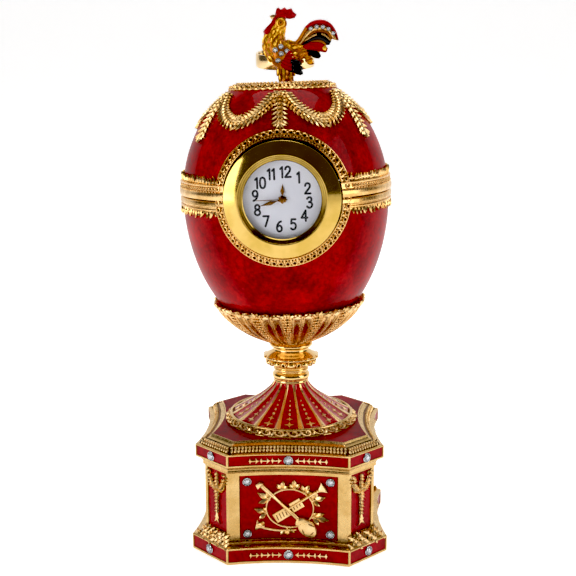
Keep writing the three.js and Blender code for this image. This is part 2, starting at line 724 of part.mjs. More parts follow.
function finialRingGeometry() {
  const ring = { radius: 10.2, wall: 0.9, width: 4.6, tilt: 9 * DEGREE, behind: 14.3, x: -1.2, z: 7.6 };
  const profile = [[ring.radius - ring.wall, -ring.width / 2], [ring.radius, -ring.width / 2],
    [ring.radius, ring.width / 2], [ring.radius - ring.wall, ring.width / 2],
    [ring.radius - ring.wall, -ring.width / 2]];
  return turned(profile, 20).rotateX(ring.tilt).translate(ring.x, ring.behind, ring.z);
}

function addFinial() {
  const figure = new THREE.Group();
  figure.position.set(rooster.x, 0, rooster.foot);
  figure.rotation.y = -LEAN;
  upper.add(figure);
  addNode(figure, 'rooster', roosterSolid(), { color: 0xd98a1a, roughness: 0.25, metalness: 0.6 });
  addNode(figure, 'finial_ring', finialRingGeometry(), polished);
}

addNode(object, 'plinth', plinthSolid(), enamel);
addNode(object, 'pedestal', pedestalSolid(), enamel);
addNode(object, 'knop', knopSolid(), gold);
addNode(upper, 'cup', cupSolid(), gold);
addNode(upper, 'egg_shell', eggShellSolid(), enamel);
addNode(upper, 'egg_lid', eggLidSolid(), enamel);
addClock();
addFinial();
addStones();

export default object;
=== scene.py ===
"""A jewelled table egg with a clock in its front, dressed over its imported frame.

Helpers work in millimetres, +Z up, with the clock towards -Y, and turn their points to metres at the end.
"""

import math

import bmesh
import bpy
import numpy as np
from mathutils import Matrix, Vector


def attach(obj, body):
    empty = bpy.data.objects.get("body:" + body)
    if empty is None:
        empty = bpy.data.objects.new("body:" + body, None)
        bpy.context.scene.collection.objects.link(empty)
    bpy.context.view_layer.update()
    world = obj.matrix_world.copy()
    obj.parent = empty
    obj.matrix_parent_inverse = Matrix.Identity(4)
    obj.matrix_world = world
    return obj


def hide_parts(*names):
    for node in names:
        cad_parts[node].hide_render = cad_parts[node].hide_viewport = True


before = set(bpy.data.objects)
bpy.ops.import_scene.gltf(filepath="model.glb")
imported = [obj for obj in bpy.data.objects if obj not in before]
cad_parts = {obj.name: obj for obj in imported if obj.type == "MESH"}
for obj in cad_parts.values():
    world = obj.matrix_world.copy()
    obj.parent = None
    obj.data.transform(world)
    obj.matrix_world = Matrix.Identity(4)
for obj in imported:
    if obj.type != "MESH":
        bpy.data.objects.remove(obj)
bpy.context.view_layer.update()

MM = 0.001
TURN = 2 * math.pi
ROOT = "stand_and_egg"

# Ends of the tone curve: the picture's darkest and lightest tones, matched to the photograph's
BLACK_LEVEL, WHITE_LEVEL = 0.022, 0.92

# Driving sizes in mm, as in the frame. Plan sizes are half a wide side's length and how far out it lies.
FOOT = dict(half=20.5, out=33.5, top=5.8)
BODY = dict(half=20.1, out=28.8)
CORNICE = dict(half=20.2, out=32.0, bottom=33.6, top=38.2)
PLATE = dict(half=18.5, out=26.6, top=41.2)
SAG = 2.4  # how far the wide sides curve in at their middles
FIELD = dict(half=16.35, bottom=6.95, top=29.6)
CORNER_FIELD = dict(half=4.75, bottom=9.3, top=30.3)
EGG = dict(radius=35.0, centre=121.0, below=50.3, above=41.5, seam=122.5, wall=1.8)
LEAN, LEAN_HEIGHT = math.radians(-1.7), 66.0  # the egg leans sideways about this height
CLOCK_SHIFT, CLOCK_FRONT, CLOCK_HEIGHT = 0.2, -36.6, 123.1  # the middle of the bezel's front
DIAL_DEPTH = 3.9  # behind the bezel's front
OPENING, COLLAR_RADIUS = 18.9, 20.2
FOOT_MIDDLE, CORNICE_MIDDLE = 3.1, 35.9
ROOSTER = dict(x=1.65, foot=158.75)

# How many there are round the part
SWAGS, FRINGE, WAVES, RIBS = 6, 150, 30, 16

# The part of an enamel's mottle that comes from its broad noise
BROAD_SHARE = 0.42


# Meshes

class Shape:
    """Faces gathered in millimetres, each with a finish number, and made into one object at the end."""

    def __init__(self):
        self.points, self.faces, self.finish, self.count = [], [], [], 0

    def add(self, points, faces, finish=0):
        points = np.asarray(points, float).reshape(-1, 3)
        self.points.append(points)
        self.faces.extend((np.asarray(face) + self.count).tolist() for face in faces)
        self.finish.extend([finish] * len(faces) if np.isscalar(finish) else finish)
        self.count += len(points)
        return self

    def make(self, name, finishes, slot, body=ROOT, replaces=(), lean=False, sharp=38):
        points = np.concatenate(self.points)
        if lean:
            points = leaned(points)
        mesh = bpy.data.meshes.new(name)
        mesh.from_pydata((points * MM).tolist(), [], self.faces)
        mesh.polygons.foreach_set("material_index", self.finish)
        for material in finishes:
            mesh.materials.append(material)
        mesh.validate()
        mesh.shade_smooth()
        mesh.set_sharp_from_angle(angle=math.radians(sharp))
        piece = add_object(name, mesh)
        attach(piece, body)
        if replaces:
            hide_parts(*replaces)
        return piece


def leaned(points):
    """Points of the upright egg, leaning with its cup."""
    x, z = points[..., 0], points[..., 2] - LEAN_HEIGHT
    out = points.copy()
    out[..., 0] = x * math.cos(LEAN) + z * math.sin(LEAN)
    out[..., 2] = LEAN_HEIGHT - x * math.sin(LEAN) + z * math.cos(LEAN)
    return out


def add_object(name, data):
    made = bpy.data.objects.new(name, data)
    bpy.context.scene.collection.objects.link(made)
    return made


def spread(count, shift=0.0):
    """Angles spread evenly round a full turn."""
    return (np.arange(count) + shift) * TURN / count


def outward(angle, slope=0.0):
    """The direction away from the axis at an angle round from the clock's side."""
    return np.array([math.sin(angle), -math.cos(angle), slope])


def quads(rows, columns, around=False, loop=False):
    """Faces of a grid; around closes each row and loop joins the last row to the first."""
    r = np.arange(rows if loop else rows - 1)
    c = np.arange(columns if around else columns - 1)
    r, c = np.meshgrid(r, c, indexing="ij")
    r2, c2 = (r + 1) % rows, (c + 1) % columns
    corners = [r * columns + c, r * columns + c2, r2 * columns + c2, r2 * columns + c]
    return np.stack(corners, -1).reshape(-1, 4)


def lofted(rows, flip=False):
    """A closed form through rings of points, closed at both ends."""
    rows = np.asarray(rows, float)
    count, around = rows.shape[:2]
    faces = [list(face) for face in quads(count, around, around=True)]
    last = (count - 1) * around
    faces.append(list(range(around))[::-1])
    faces.append([last + i for i in range(around)])
    if flip:
        faces = [face[::-1] for face in faces]
    return rows.reshape(-1, 3), faces


def turned(profile, segments=96):
    """A turned form from a closed profile of (radius, height), as a ring of points and its faces."""
    profile = np.asarray(profile, float)
    angle = spread(segments)
    x, y = profile[:, :1] * np.cos(angle), profile[:, :1] * np.sin(angle)
    z = np.repeat(profile[:, 1:], segments, axis=1)
    return np.stack([x, y, z], -1), quads(len(profile), segments, around=True, loop=True)


def smooth_profile(points, per=6):
    """A curve through the points of a profile, with rounded bends."""
    points = np.asarray(points, float)
    padded = np.vstack([2 * points[0] - points[1], points, 2 * points[-1] - points[-2]])
    out = []
    for i in range(1, len(padded) - 2):
        a, b, c, d = padded[i - 1:i + 3]
        for t in np.arange(per) / per:
            out.append(0.5 * (2 * b + (c - a) * t + (2 * a - 5 * b + 4 * c - d) * t * t
                              + (3 * b - a - 3 * c + d) * t ** 3))
    out.append(points[-1])
    return np.array(out)


# Small forms, drawn once about their own +Z and then stamped on a surface

def round_form(profile, around):
    """A closed round form through rings of (radius, height)."""
    return lofted([[(math.cos(a) * r, math.sin(a) * r, z) for a in spread(around)] for r, z in profile])


def bead_form(around=8, rings=3):
    """The front half of a bead, with a flat back."""
    dome = [(math.cos(t), math.sin(t)) for t in np.linspace(0, 1.15, rings + 1)]
    return round_form([(0.85, -0.3)] + dome, around)


def ring_bead_form(around=10):
    """A bead with a hole in its face."""
    section = [(1.0, -0.3), (1.0, 0.15), (0.86, 0.55), (0.64, 0.62), (0.46, 0.35), (0.42, -0.1)]
    return round_form(section, around)


def scaled_about_middle(outline, scale):
    outline = np.asarray(outline, float)
    return outline.mean(0) + (outline - outline.mean(0)) * scale


def pillow_form(outline, steps=((1, -0.3), (1, 0.35), (0.88, 0.8), (0.55, 1.0), (0.1, 1.06))):
    """A domed relief over an outline that can be seen whole from its middle."""
    return lofted([[(*point, z) for point in scaled_about_middle(outline, scale)] for scale, z in steps])


def bar_outline(low, high, bottom, top):
    """A bar about x = 0, by its half widths at the bottom and at the top."""
    return [(-low, bottom), (low, bottom), (high, top), (-high, top)]


def leaf_form(width=0.42, ridge=0.2, lift=0.1, tip=0.0):
    """A pointed leaf from the origin to (0, 1) with a ridge down its middle."""
    rows = []
    for t in (0.0, 0.15, 0.35, 0.6, 0.82, 1.0):
        half = width * math.sin(math.pi * min(1, 0.08 + t * 0.9) ** 0.8) + 0.01
        rise = lift * math.sin(math.pi * t) + tip * t * t
        rows.append([(-half, t, rise), (-half * 0.45, t, rise + ridge * 0.45), (0, t, rise + ridge),
                     (half * 0.45, t, rise + ridge * 0.45), (half, t, rise), (0, t, -0.12)])
    return lofted(rows, flip=True)


def star_outline(points, inner):
    return [(math.sin(i * math.pi / points) * (inner if i % 2 else 1),
             math.cos(i * math.pi / points) * (inner if i % 2 else 1)) for i in range(2 * points)][::-1]


def ellipse_outline(rx, ry, count=20):
    return [(rx * math.cos(a), ry * math.sin(a)) for a in spread(count)]


BEAD = bead_form()
RING_BEAD = ring_bead_form()
LEAF = leaf_form()
LAUREL = leaf_form(0.42, 0.22, 0.12, 0.26)
STAR = pillow_form(star_outline(4, 0.34))
DISC = pillow_form(ellipse_outline(1, 1, 16))


def spot(origin, out, up=(0, 0, 1)):
    """A place on a surface: its origin, and the right, up and outward directions there."""
    out = np.asarray(out, float) / np.linalg.norm(out)
    up = np.asarray(up, float)
    up = up - out * np.dot(up, out)
    up = up / np.linalg.norm(up)
    return np.asarray(origin, float), np.cross(up, out), up, out


def round_spot(angle, radius, z, slope=0.0):
    """A place on a form turned about the stand's axis, whose surface leans back by slope."""
    return spot(outward(angle) * radius + (0, 0, z), outward(angle, slope))


def stamp(shape, form, place, size, finish=0, turn=0.0, offset=(0, 0)):
    """Adds a small form at a place, turned clockwise by turn and moved by offset in the surface."""
    points, faces = form
    origin, right, up, out = place
    sx, sy, sz = (size, size, size) if np.isscalar(size) else size
    x, y = points[:, 0] * sx, points[:, 1] * sy
    cos, sin = math.cos(turn), math.sin(turn)
    u = x * cos + y * sin + offset[0]
    v = y * cos - x * sin + offset[1]
    placed = origin + np.outer(u, right) + np.outer(v, up) + np.outer(points[:, 2] * sz, out)
    shape.add(placed, faces, finish)


def strand(shape, spots, half, height, finish=0, closed=False, sections=6, sink=0.15):
    """A half-round moulding along places on a surface."""
    path, outs = np.array([s[0] for s in spots], float), np.array([s[3] for s in spots], float)
    along = np.roll(path, -1, 0) - np.roll(path, 1, 0) if closed else np.gradient(path, axis=0)
    along /= np.linalg.norm(along, axis=1)[:, None]
    side = np.cross(outs, along)
    half = np.broadcast_to(half, len(path))[:, None, None]
    height = np.broadcast_to(height, len(path))[:, None, None]
    angle = np.linspace(0, math.pi, sections)
    across = np.append(np.cos(angle), [-0.9, 0.9])[None, :, None]
    rise = np.append(np.sin(angle), [-sink, -sink])[None, :, None]
    lift = rise * np.where(rise < 0, 1.0, height)
    rows = path[:, None] + side[:, None] * across * half + outs[:, None] * lift
    if closed:
        shape.add(rows, quads(len(path), sections + 2, around=True, loop=True)[:, ::-1], finish)
    else:
        shape.add(*lofted(rows, flip=True), finish)


# Materials

def material(name, build):
    made = bpy.data.materials.new(name)
    made.use_nodes = True
    tree = made.node_tree
    build(tree, tree.nodes["Principled BSDF"])
    return made


def set_shader(shader, **values):
    for name, value in values.items():
        shader.inputs[name.replace("_", " ")].default_value = value


def noise(tree, scale, detail=3.0, roughness=0.55):
    """Noise over the object's own space, in features per metre."""
    where = tree.nodes.new("ShaderNodeTexCoord")
    texture = tree.nodes.new("ShaderNodeTexNoise")
    for name, value in (("Scale", scale), ("Detail", detail), ("Roughness", roughness)):
        texture.inputs[name].default_value = value
    tree.links.new(where.outputs["Object"], texture.inputs["Vector"])
    return texture.outputs["Fac"]


def ramp(tree, value, stops):
    """Colours, or greys, along a value."""
    node = tree.nodes.new("ShaderNodeValToRGB")
    while len(node.color_ramp.elements) < len(stops):
        node.color_ramp.elements.new(0.5)
    for element, (place, colour) in zip(node.color_ramp.elements, stops):
        element.position = place
        element.color = (colour, colour, colour, 1) if np.isscalar(colour) else (*colour, 1)
    tree.links.new(value, node.inputs["Fac"])
    return node.outputs["Color"]


def bump(tree, shader, height, strength, distance):
    node = tree.nodes.new("ShaderNodeBump")
    node.inputs["Strength"].default_value = strength
    node.inputs["Distance"].default_value = distance
    tree.links.new(height, node.inputs["Height"])
    tree.links.new(node.outputs["Normal"], shader.inputs["Normal"])


def metal(name, low, high, rough=(0.2, 0.34), grain=900, relief=0.25):
    """Gilt metal: its colour and gloss change a little over small patches, over a faint cast grain."""
    def build(tree, shader):
        patches = noise(tree, 160, 2)
        fine = noise(tree, grain, 2)
        tree.links.new(ramp(tree, patches, [(0.35, low), (0.65, high)]), shader.inputs["Base Color"])
        tree.links.new(ramp(tree, fine, [(0.3, rough[0]), (0.7, rough[1])]), shader.inputs["Roughness"])
        bump(tree, shader, fine, relief, 0.00006)
        set_shader(shader, Metallic=1.0)
    return material(name, build)


def scaled_sum(tree, value, factor, added=None):
    """value times factor, plus another value."""
    node = tree.nodes.new("ShaderNodeMath")
    node.operation = "MULTIPLY_ADD" if added else "MULTIPLY"
    node.inputs[1].default_value = factor
    tree.links.new(value, node.inputs[0])
    if added:
        tree.links.new(added, node.inputs[2])
    return node.outputs[0]


def enamel(name, stops, cell=700, metallic=0.2, rough=0.34, coat=0.1, skin=0.14, sheen=0.15):
    """Translucent enamel: foil seen through mottled colour, under a clear skin. Two colours are two stops."""
    if len(stops) == 2:
        stops = list(zip((0.36, 0.62), stops))

    def build(tree, shader):
        fine, broad = noise(tree, cell, 4, roughness=0.7), noise(tree, cell * 0.16, 2)
        mottle = scaled_sum(tree, broad, BROAD_SHARE, scaled_sum(tree, fine, 1 - BROAD_SHARE))
        tree.links.new(ramp(tree, mottle, stops), shader.inputs["Base Color"])
        tree.links.new(ramp(tree, fine, [(0.3, rough), (0.7, rough + 0.14)]), shader.inputs["Roughness"])
        bump(tree, shader, noise(tree, 150, 2), 0.1, 0.0002)
        set_shader(shader, Metallic=metallic, Coat_Weight=coat, Coat_Roughness=skin, Coat_IOR=1.4,
                   Specular_IOR_Level=sheen)
    return material(name, build)


def tinted(name, scale, low, high, spread_of=(0.3, 0.7), detail=2, grain=0, **values):
    """A surface whose colour varies a little, with a fine grain where one is given."""
    def build(tree, shader):
        tint = ramp(tree, noise(tree, scale, detail), list(zip(spread_of, (low, high))))
        tree.links.new(tint, shader.inputs["Base Color"])
        if grain:
            bump(tree, shader, noise(tree, grain, 2), 0.05, 0.00002)
        set_shader(shader, **values)
    return material(name, build)


def plain(name, colour, **values):
    return material(name, lambda tree, shader: set_shader(shader, Base_Color=(*colour, 1), **values))


GOLD = metal("cast_gold", (0.62, 0.36, 0.12), (0.84, 0.56, 0.25))
PALE_GOLD = metal("brushed_gold", (0.54, 0.34, 0.12), (0.66, 0.45, 0.19), rough=(0.2, 0.34))
# A lighter copy of the gold for raised leaves, beads, ribs, arrows and swags: painted highlight
RELIEF_HIGHLIGHT_GOLD = metal("relief_highlight_gold", (0.72, 0.47, 0.19), (0.88, 0.64, 0.33), rough=(0.24, 0.38))
POLISHED = metal("polished_gold", (0.58, 0.38, 0.09), (0.68, 0.46, 0.14), rough=(0.08, 0.13), relief=0.05)
KNOP_GOLD = metal("knop_gold", (0.72, 0.46, 0.17), (0.84, 0.58, 0.26), rough=(0.1, 0.16), relief=0.05)
HOOP_GOLD = metal("hoop_gold", (0.78, 0.56, 0.28), (0.88, 0.66, 0.36), rough=(0.12, 0.2), relief=0.05)
CUP_GOLD = metal("cup_gold", (0.60, 0.32, 0.10), (0.86, 0.56, 0.25), rough=(0.2, 0.34))
# Red-brown metal for the cup's hollow flutes: a painted reflection of the red egg in the polished gold
FLUTE_EGG_REFLECTION = metal("flute_egg_reflection", (0.28, 0.05, 0.014), (0.50, 0.17, 0.045), rough=(0.2, 0.3))
# A darker copy of the polished gold for the bezel's inner steps: painted shade
SHADED_LIP_GOLD = metal("lip_painted_shade_gold", (0.30, 0.20, 0.05), (0.42, 0.29, 0.08), rough=(0.12, 0.2), relief=0.05)
# Near-black gold, painted shade: dark discs and slits in bead holes, scroll eyes and gaps between ornaments
HOLLOW_SHADE = metal("painted_hollow_shade", (0.035, 0.014, 0.005), (0.08, 0.035, 0.012), rough=(0.5, 0.6))
# Dark gold, painted shade: on field walls, grooves, sunk slots, the scroll ring's floor and garland cores
SHADE = metal("shaded_gold", (0.16, 0.07, 0.02), (0.26, 0.12, 0.04), rough=(0.4, 0.5))
BROWN = metal("hand_brown", (0.13, 0.055, 0.010), (0.22, 0.10, 0.02), rough=(0.25, 0.35))
SILVER = metal("claw_silver", (0.30, 0.30, 0.31), (0.62, 0.62, 0.62), rough=(0.12, 0.22))
EGG_REDS = [(0.32, (0.12, 0.0, 0.001)), (0.48, (0.25, 0.0, 0.002)), (0.64, (0.44, 0.003, 0.004))]
EGG_RED = enamel("egg_red", EGG_REDS, metallic=0.0, coat=0.22, skin=0.07, sheen=0.04)
CASE_RED = enamel("case_red", [(0.19, 0.0, 0.003), (0.38, 0.003, 0.008)])
PLATE_RED = enamel("plate_red", [(0.14, 0.0, 0.004), (0.38, 0.004, 0.010)], metallic=0.0, skin=0.08, sheen=0.04)
SKIRT_RED = enamel("skirt_red", [(0.28, 0.0, 0.004), (0.62, 0.012, 0.014)], coat=1.0, skin=0.05)
COMB_RED = enamel("comb_red", [(0.22, 0.002, 0.006), (0.46, 0.012, 0.016)], cell=1500)
BIRD_YELLOW = enamel("bird_yellow", [(0.66, 0.28, 0.02), (0.98, 0.64, 0.09)], 1200, 0.6, 0.25, coat=0.3)
BIRD_ORANGE = enamel("bird_orange", [(0.26, 0.06, 0.004), (0.62, 0.22, 0.02)], 1200, 0.6, 0.25, coat=0.3)
BIRD_BLACK = enamel("bird_black", [(0.003, 0.003, 0.004), (0.012, 0.012, 0.014)], 1200, coat=0.4)
DIAL = tinted("dial_card", 90, (0.80, 0.81, 0.90), (0.86, 0.87, 0.95), grain=2500, Roughness=0.45)
# Black print of the dial; also the stones' dark wedges, painted reflections in their facets
INK_AND_FACET_REFLECTION = tinted("dial_ink_and_facet_reflection", 900, (0.006, 0.006, 0.012), (0.02, 0.02, 0.03), detail=1, Roughness=0.5)
# Bright foil behind the stones; laid in wedges and in a disc off the middle it is also painted sparkle and
# highlight
FOIL_AND_SPARKLE = tinted("stone_foil_and_sparkle", 1500, (0.55, 0.57, 0.60), (0.97, 0.98, 1.0), (0.40, 0.60), detail=1, Metallic=1.0,
              Roughness=0.12)
GLASS = plain("clock_glass", (1, 1, 1), Roughness=0.0, IOR=1.12, Transmission_Weight=1.0)
STONE = plain("clear_stone", (0.95, 0.97, 1), Roughness=0.0, IOR=1.9, Transmission_Weight=0.75)


# Plinth

def side_out(half, out, a):
    """How far out a wide side lies at a place along it: it sags towards its middle."""
    return out - SAG * (1 - (a / half) ** 2)


def plan(half, out, z, side_columns, corner_columns, push=0.0, corner_push=0.0):
    """One ring of the eight-sided plan. Columns are places along a wide side, in mm, and along a corner
    face as shares of its width; a pushed column lies that much deeper."""
    ring = []
    corner_from, corner_to = np.array([half, -out]), np.array([out, -half])
    inward = np.array([-1, 1]) / math.sqrt(2)
    for side in range(4):
        cos, sin = math.cos(side * math.pi / 2), math.sin(side * math.pi / 2)
        flat = [(a, -side_out(half, out, a) + (push if inner else 0)) for a, inner in side_columns]
        for share, inner in corner_columns:
            sunk = inward * corner_push if inner else 0
            flat.append(corner_from + (corner_to - corner_from) * share + sunk)
        ring.extend((x * cos - y * sin, x * sin + y * cos, z) for x, y in flat)
    return ring


def plan_columns(half, out, field_half, corner_field_half, steps=14, edge=0.2):
    """Columns of one ring, with the edges of the enamel fields doubled."""
    side = [(-half, False), (-field_half - edge, False)]
    side += [(a, True) for a in np.linspace(-field_half, field_half, steps)]
    side += [(field_half + edge, False), (half, False)]
    width = (out - half) * math.sqrt(2)
    low, rim = 0.5 - corner_field_half / width, edge / width
    corner = [(low - rim, False)] + [(s, True) for s in np.linspace(low, 1 - low, 4)] + [(1 - low + rim, False)]
    return side, corner


def slab_rows(size, fields, steps, base=0.0):
    """Rows of a casting. A step is a height, what half and out gain there, and how deep the fields lie on the
    wide sides and on the corner faces; what a step leaves out is 0."""
    rows = []
    for height, *rest in steps:
        half, out, push, corner_push = (rest + [0] * 4)[:4]
        rows.append((base + height, size["half"] + half, size["out"] + out, *fields, push, corner_push))
    return rows


def octagon(shape, rows, wall=2, painted_shade_rows=()):
    """A casting with the eight-sided plan: finish 0 on its metal, 1 on its fields, and finish wall on the walls
    round them and on the given dark rows; the plinth paints shade there.
    """
    rings, deep = [], ([], [])
    for z, half, out, field, corner_field, *pushes in rows:
        side, corner = plan_columns(half, out, field, corner_field)
        rings.append(plan(half, out, z, side, corner, *pushes))
        for flags, push in zip(deep, pushes):
            flags.append(push > 0)
    columns = len(side) + len(corner)
    inner = [flag for _, flag in side + corner]
    points, faces = lofted(rings)
    finish = []
    for r in range(len(rings) - 1):
        for c in range(4 * columns):
            a, b = c % columns, (c + 1) % columns
            low, high = deep[a >= len(side)][r:r + 2]
            field = inner[a] and inner[b] and low and high
            edge = (inner[a] and inner[b] and low != high) or (inner[a] != inner[b] and low and high)
            # Walls round the fields and the given dark rows take the wall finish, painted shade on the plinth
            finish.append(1 if field else wall if edge or r in painted_shade_rows else 0)
    shape.add(points, faces, finish + [0, 0])


def along_plan(half, out, z, slope, pitch=1.17, inset=0.6):
    """Places evenly spaced along all eight faces, leaning back by slope."""
    places = []
    for face in range(8):
        wide = face % 2 == 0
        turn = Matrix.Rotation(face * math.pi / 4, 3, "Z")
        count = round(((2 * half if wide else (out - half) * math.sqrt(2)) - inset) / pitch)
        for i in range(count):
            a = (i + 0.5 - count / 2) * pitch
            reach = side_out(half, out, a) if wide else (out + half) / math.sqrt(2)
            level = Vector((2 * SAG * a / half ** 2 if wide else 0, -1, 0)).normalized()
            normal = Vector((level.x, level.y, slope)).normalized()
            places.append(spot(turn @ Vector((a, -reach, z)), turn @ normal))
    return places


def side_spot(side, a, z, depth=0.3, size=BODY):
    """A place on a wide side, sunk by depth."""
    turn = Matrix.Rotation(side * math.pi / 2, 3, "Z")
    normal = Vector((-2 * SAG * a / size["half"] ** 2, -1, 0))
    return spot(turn @ Vector((a, depth - side_out(size["half"], size["out"], a), z)), turn @ normal)


def corner_spot(corner, a, z, depth=0.3, size=BODY):
    turn = Matrix.Rotation(math.pi / 4 + corner * math.pi / 2, 3, "Z")
    place = Vector((a, -(size["out"] + size["half"]) / math.sqrt(2) + depth, z))
    return spot(turn @ place, turn @ Vector((0, -1, 0)))


def on_front(points, depth=0.3):
    """A path drawn in x and z, laid on the front side."""
    return [side_spot(0, x, z, depth) for x, z in points]


def slab_arrows(shape, size, z):
    """Small arrows of gold that point along the slab's wide sides to their middle stones."""
    shaft = bar_outline(0.2, 0.2, -1.3, 0.9)
    head = [(-0.95, 0.35), (-0.2, 0.6), (0.2, 0.6), (0.95, 0.35), (0.3, 1.15), (0, 1.8), (-0.3, 1.15)]
    tail = [(-0.85, -1.45), (-0.3, -1.65), (0, -1.95), (0.3, -1.65), (0.85, -1.45), (0.25, -1.1), (0, -0.75),
            (-0.25, -1.1)]
    forms = [pillow_form(outline) for outline in (shaft, head, tail)]
    for side in range(4):
        for toward in (-1, 1):
            for middle in (3.9, 7.6, 11.3):
                place = side_spot(side, -toward * middle, z, 0.12, size)
                for form in forms:
                    stamp(shape, form, place, (1.2, 0.96, 0.3), 3, toward * math.pi / 2)


def wreath(shape, corner):
    """Leaves curling over the foot's ledge below a corner face."""
    turn = Matrix.Rotation(math.pi / 4 + corner * math.pi / 2, 3, "Z")
    slope = Vector((0, -1, 1.05)).normalized()
    rng = np.random.default_rng(40 + corner)
    for row, (back, rise) in enumerate(((36.75, 6.15), (35.9, 7.2), (35.1, 8.2))):
        count = 8 - row
        for i in range(count):
            a = (i + 0.5 - count / 2) * 1.9
            place = spot(turn @ Vector((a, -back, rise)), turn @ slope)
            lean = (0.9 if (i + row) % 2 else -0.9) + rng.uniform(-0.3, 0.3)
            stamp(shape, LAUREL, place, (1.9, 2.6, 2.2), 3, lean, (0, -0.9))
            stamp(shape, LAUREL, place, (1.3, 1.9, 1.9), 3, lean + 1.6, (0.3, -0.5))
            stamp(shape, BEAD, place, (0.42, 0.42, 0.6), 0, 0, (-0.5, 0.5))


def festoon(shape, corner):
    """A garland of leaves hung from both top corners of a corner face, and its drop."""
    half, top, dip = 4.2, 29.4, 5.4
    rng = np.random.default_rng(corner + 3)
    for i in range(21):
        t = 2 * i / 20 - 1
        a, z = t * half, top - dip * (1 - abs(t) ** 3.2)
        place = corner_spot(corner, a, z)
        stamp(shape, BEAD, place, (0.42, 0.42, 0.7), 3)
        for lean in (-1, 1):
            stamp(shape, LAUREL, place, (1.3, 1.7, 1.9), 3, lean * (0.9 + 0.6 * rng.random()) + math.pi)
    for i in range(12):
        z = top - 0.2 - i * 1.2
        place = corner_spot(corner, 0.12 * math.sin(2.2 * i), z)
        stamp(shape, BEAD, place, (0.4, 0.5, 0.7), 3)
        wide = 1.9 if i in (2, 5, 6) else 1.35
        for lean in (-1, 1):
            stamp(shape, LAUREL, place, (1.2, wide, 1.9), 3, math.pi + lean * 0.85)
    tassel = [(-0.35, 0), (-0.6, -1.2), (-1.2, -2.0), (-0.6, -2.3), (-1.6, -4.1), (0, -3.2), (1.6, -4.1),
              (0.6, -2.3), (1.2, -2.0), (0.6, -1.2), (0.35, 0)]
    stamp(shape, pillow_form(tassel), corner_spot(corner, 0, 15.4), (1, 1, 0.7), 3)


# Sprigs of the trophy's laurel: root x and z, then the turn in degrees and the length of each leaf
SPRIGS = [
    (-2.3, 24.2, (-40, 2.2), (8, 2.6), (58, 2.1)), (1.9, 24.5, (-45, 2.1), (-2, 2.7), (45, 2.2)),
    (5.2, 23.2, (-15, 2.3), (32, 2.7), (80, 2.1)), (-6.6, 20.9, (-15, 2.5), (-58, 3.6), (-108, 3.0)),
    (-7.4, 16.1, (-30, 1.9), (-70, 3.6), (-128, 2.7)),
    (8.0, 20.6, (-10, 2.0), (24, 3.3), (72, 3.6), (125, 2.4)),
    (8.0, 14.6, (40, 2.0), (68, 3.4), (98, 4.4), (138, 2.6)), (-0.6, 10.4, (-132, 2.5), (178, 1.9), (118, 2.3)),
    (-8.6, 11.3, (-62, 2.0), (-15, 1.7)),
]


def trophy(shape):
    """A ring of laurel, a lute, two horns and two sheets of music, on the front panel."""
    centre, reach = np.array([0.35, 17.7]), np.array([8.0, 6.8])
    ring = [centre + reach * (math.cos(a), math.sin(a)) for a in spread(64)]
    strand(shape, on_front(ring), 0.36, 0.5, 3, closed=True)
    for x, z, *leaves in SPRIGS:
        for degrees, length in leaves:
            turn = math.radians(degrees)
            run = length * np.array([math.sin(turn), math.cos(turn)])
            strand(shape, on_front([(x, z), (x, z) + 0.5 * run]), 0.2, 0.4, 3)
            stamp(shape, LAUREL, side_spot(0, x, z), (0.95 + 0.34 * length, length, 2.0), 3, turn, 0.28 * run)
        stamp(shape, BEAD, side_spot(0, x, z), (0.5, 0.5, 0.7), 3)
    sheets(shape)
    along, horn_end, horn_run = np.linspace(0, 1, 26), np.array([-1.2, 16.9]), np.array([13.2, 8.7])
    horn_turn = math.atan2(*horn_run)
    width = 0.42 + 0.3 * along + 1.7 * np.clip((along - 0.86) / 0.14, 0, 1) ** 1.6
    strand(shape, on_front([horn_end + horn_run * t for t in along], 0.1), width, 0.8, 3)
    for t in (0.45, 0.62, 0.8, 0.86):
        stamp(shape, BEAD, side_spot(0, *(horn_end + horn_run * t), 0.1), (0.42, 0.85, 1.0), 0,
              horn_turn - math.pi / 2)
    # A dark ellipse sunk in the horn's mouth: painted shade
    stamp(shape, pillow_form(ellipse_outline(1.5, 0.5, 16)), side_spot(0, 11.9, 25.55, -0.3), (1, 1, 0.3), 2,
          horn_turn)
    low = smooth_profile([(-11.2, 11.6), (-9.6, 11.2), (-8.2, 10.6), (-5.0, 9.9), (-1.5, 9.7), (2.5, 10.0)], 5)
    width = np.interp(np.linspace(0, 1, len(low)), [0, 0.1, 0.28, 1], [2.2, 1.3, 0.5, 0.32])
    strand(shape, on_front(low), width, 0.6, 3)
    lute(shape)


def sheets(shape):
    """Two sheets of music with slots painted dark, as shade, instead of notes."""
    tilt, pitch = -0.56, 1.15
    groove = pillow_form(bar_outline(0.2, 0.2, -1.15, 1.15))
    for x, z, slots in ((-2.4, 15.4, 4), (2.6, 18.9, 3)):
        place, half = side_spot(0, x, z), 0.62 * slots + 0.25
        sheet = pillow_form(bar_outline(half, half, -1.75, 1.75), ((1, -0.3), (1, 0.8), (0.94, 1), (0.3, 1.02)))
        stamp(shape, sheet, place, (1, 1, 0.6), 3, tilt)
        for i in range(slots):
            along = (i + 0.5 - slots / 2) * pitch
            offset = (along * math.cos(tilt), -along * math.sin(tilt))
            stamp(shape, groove, place, (1, 1, 0.74), 2, tilt + 0.15, offset)


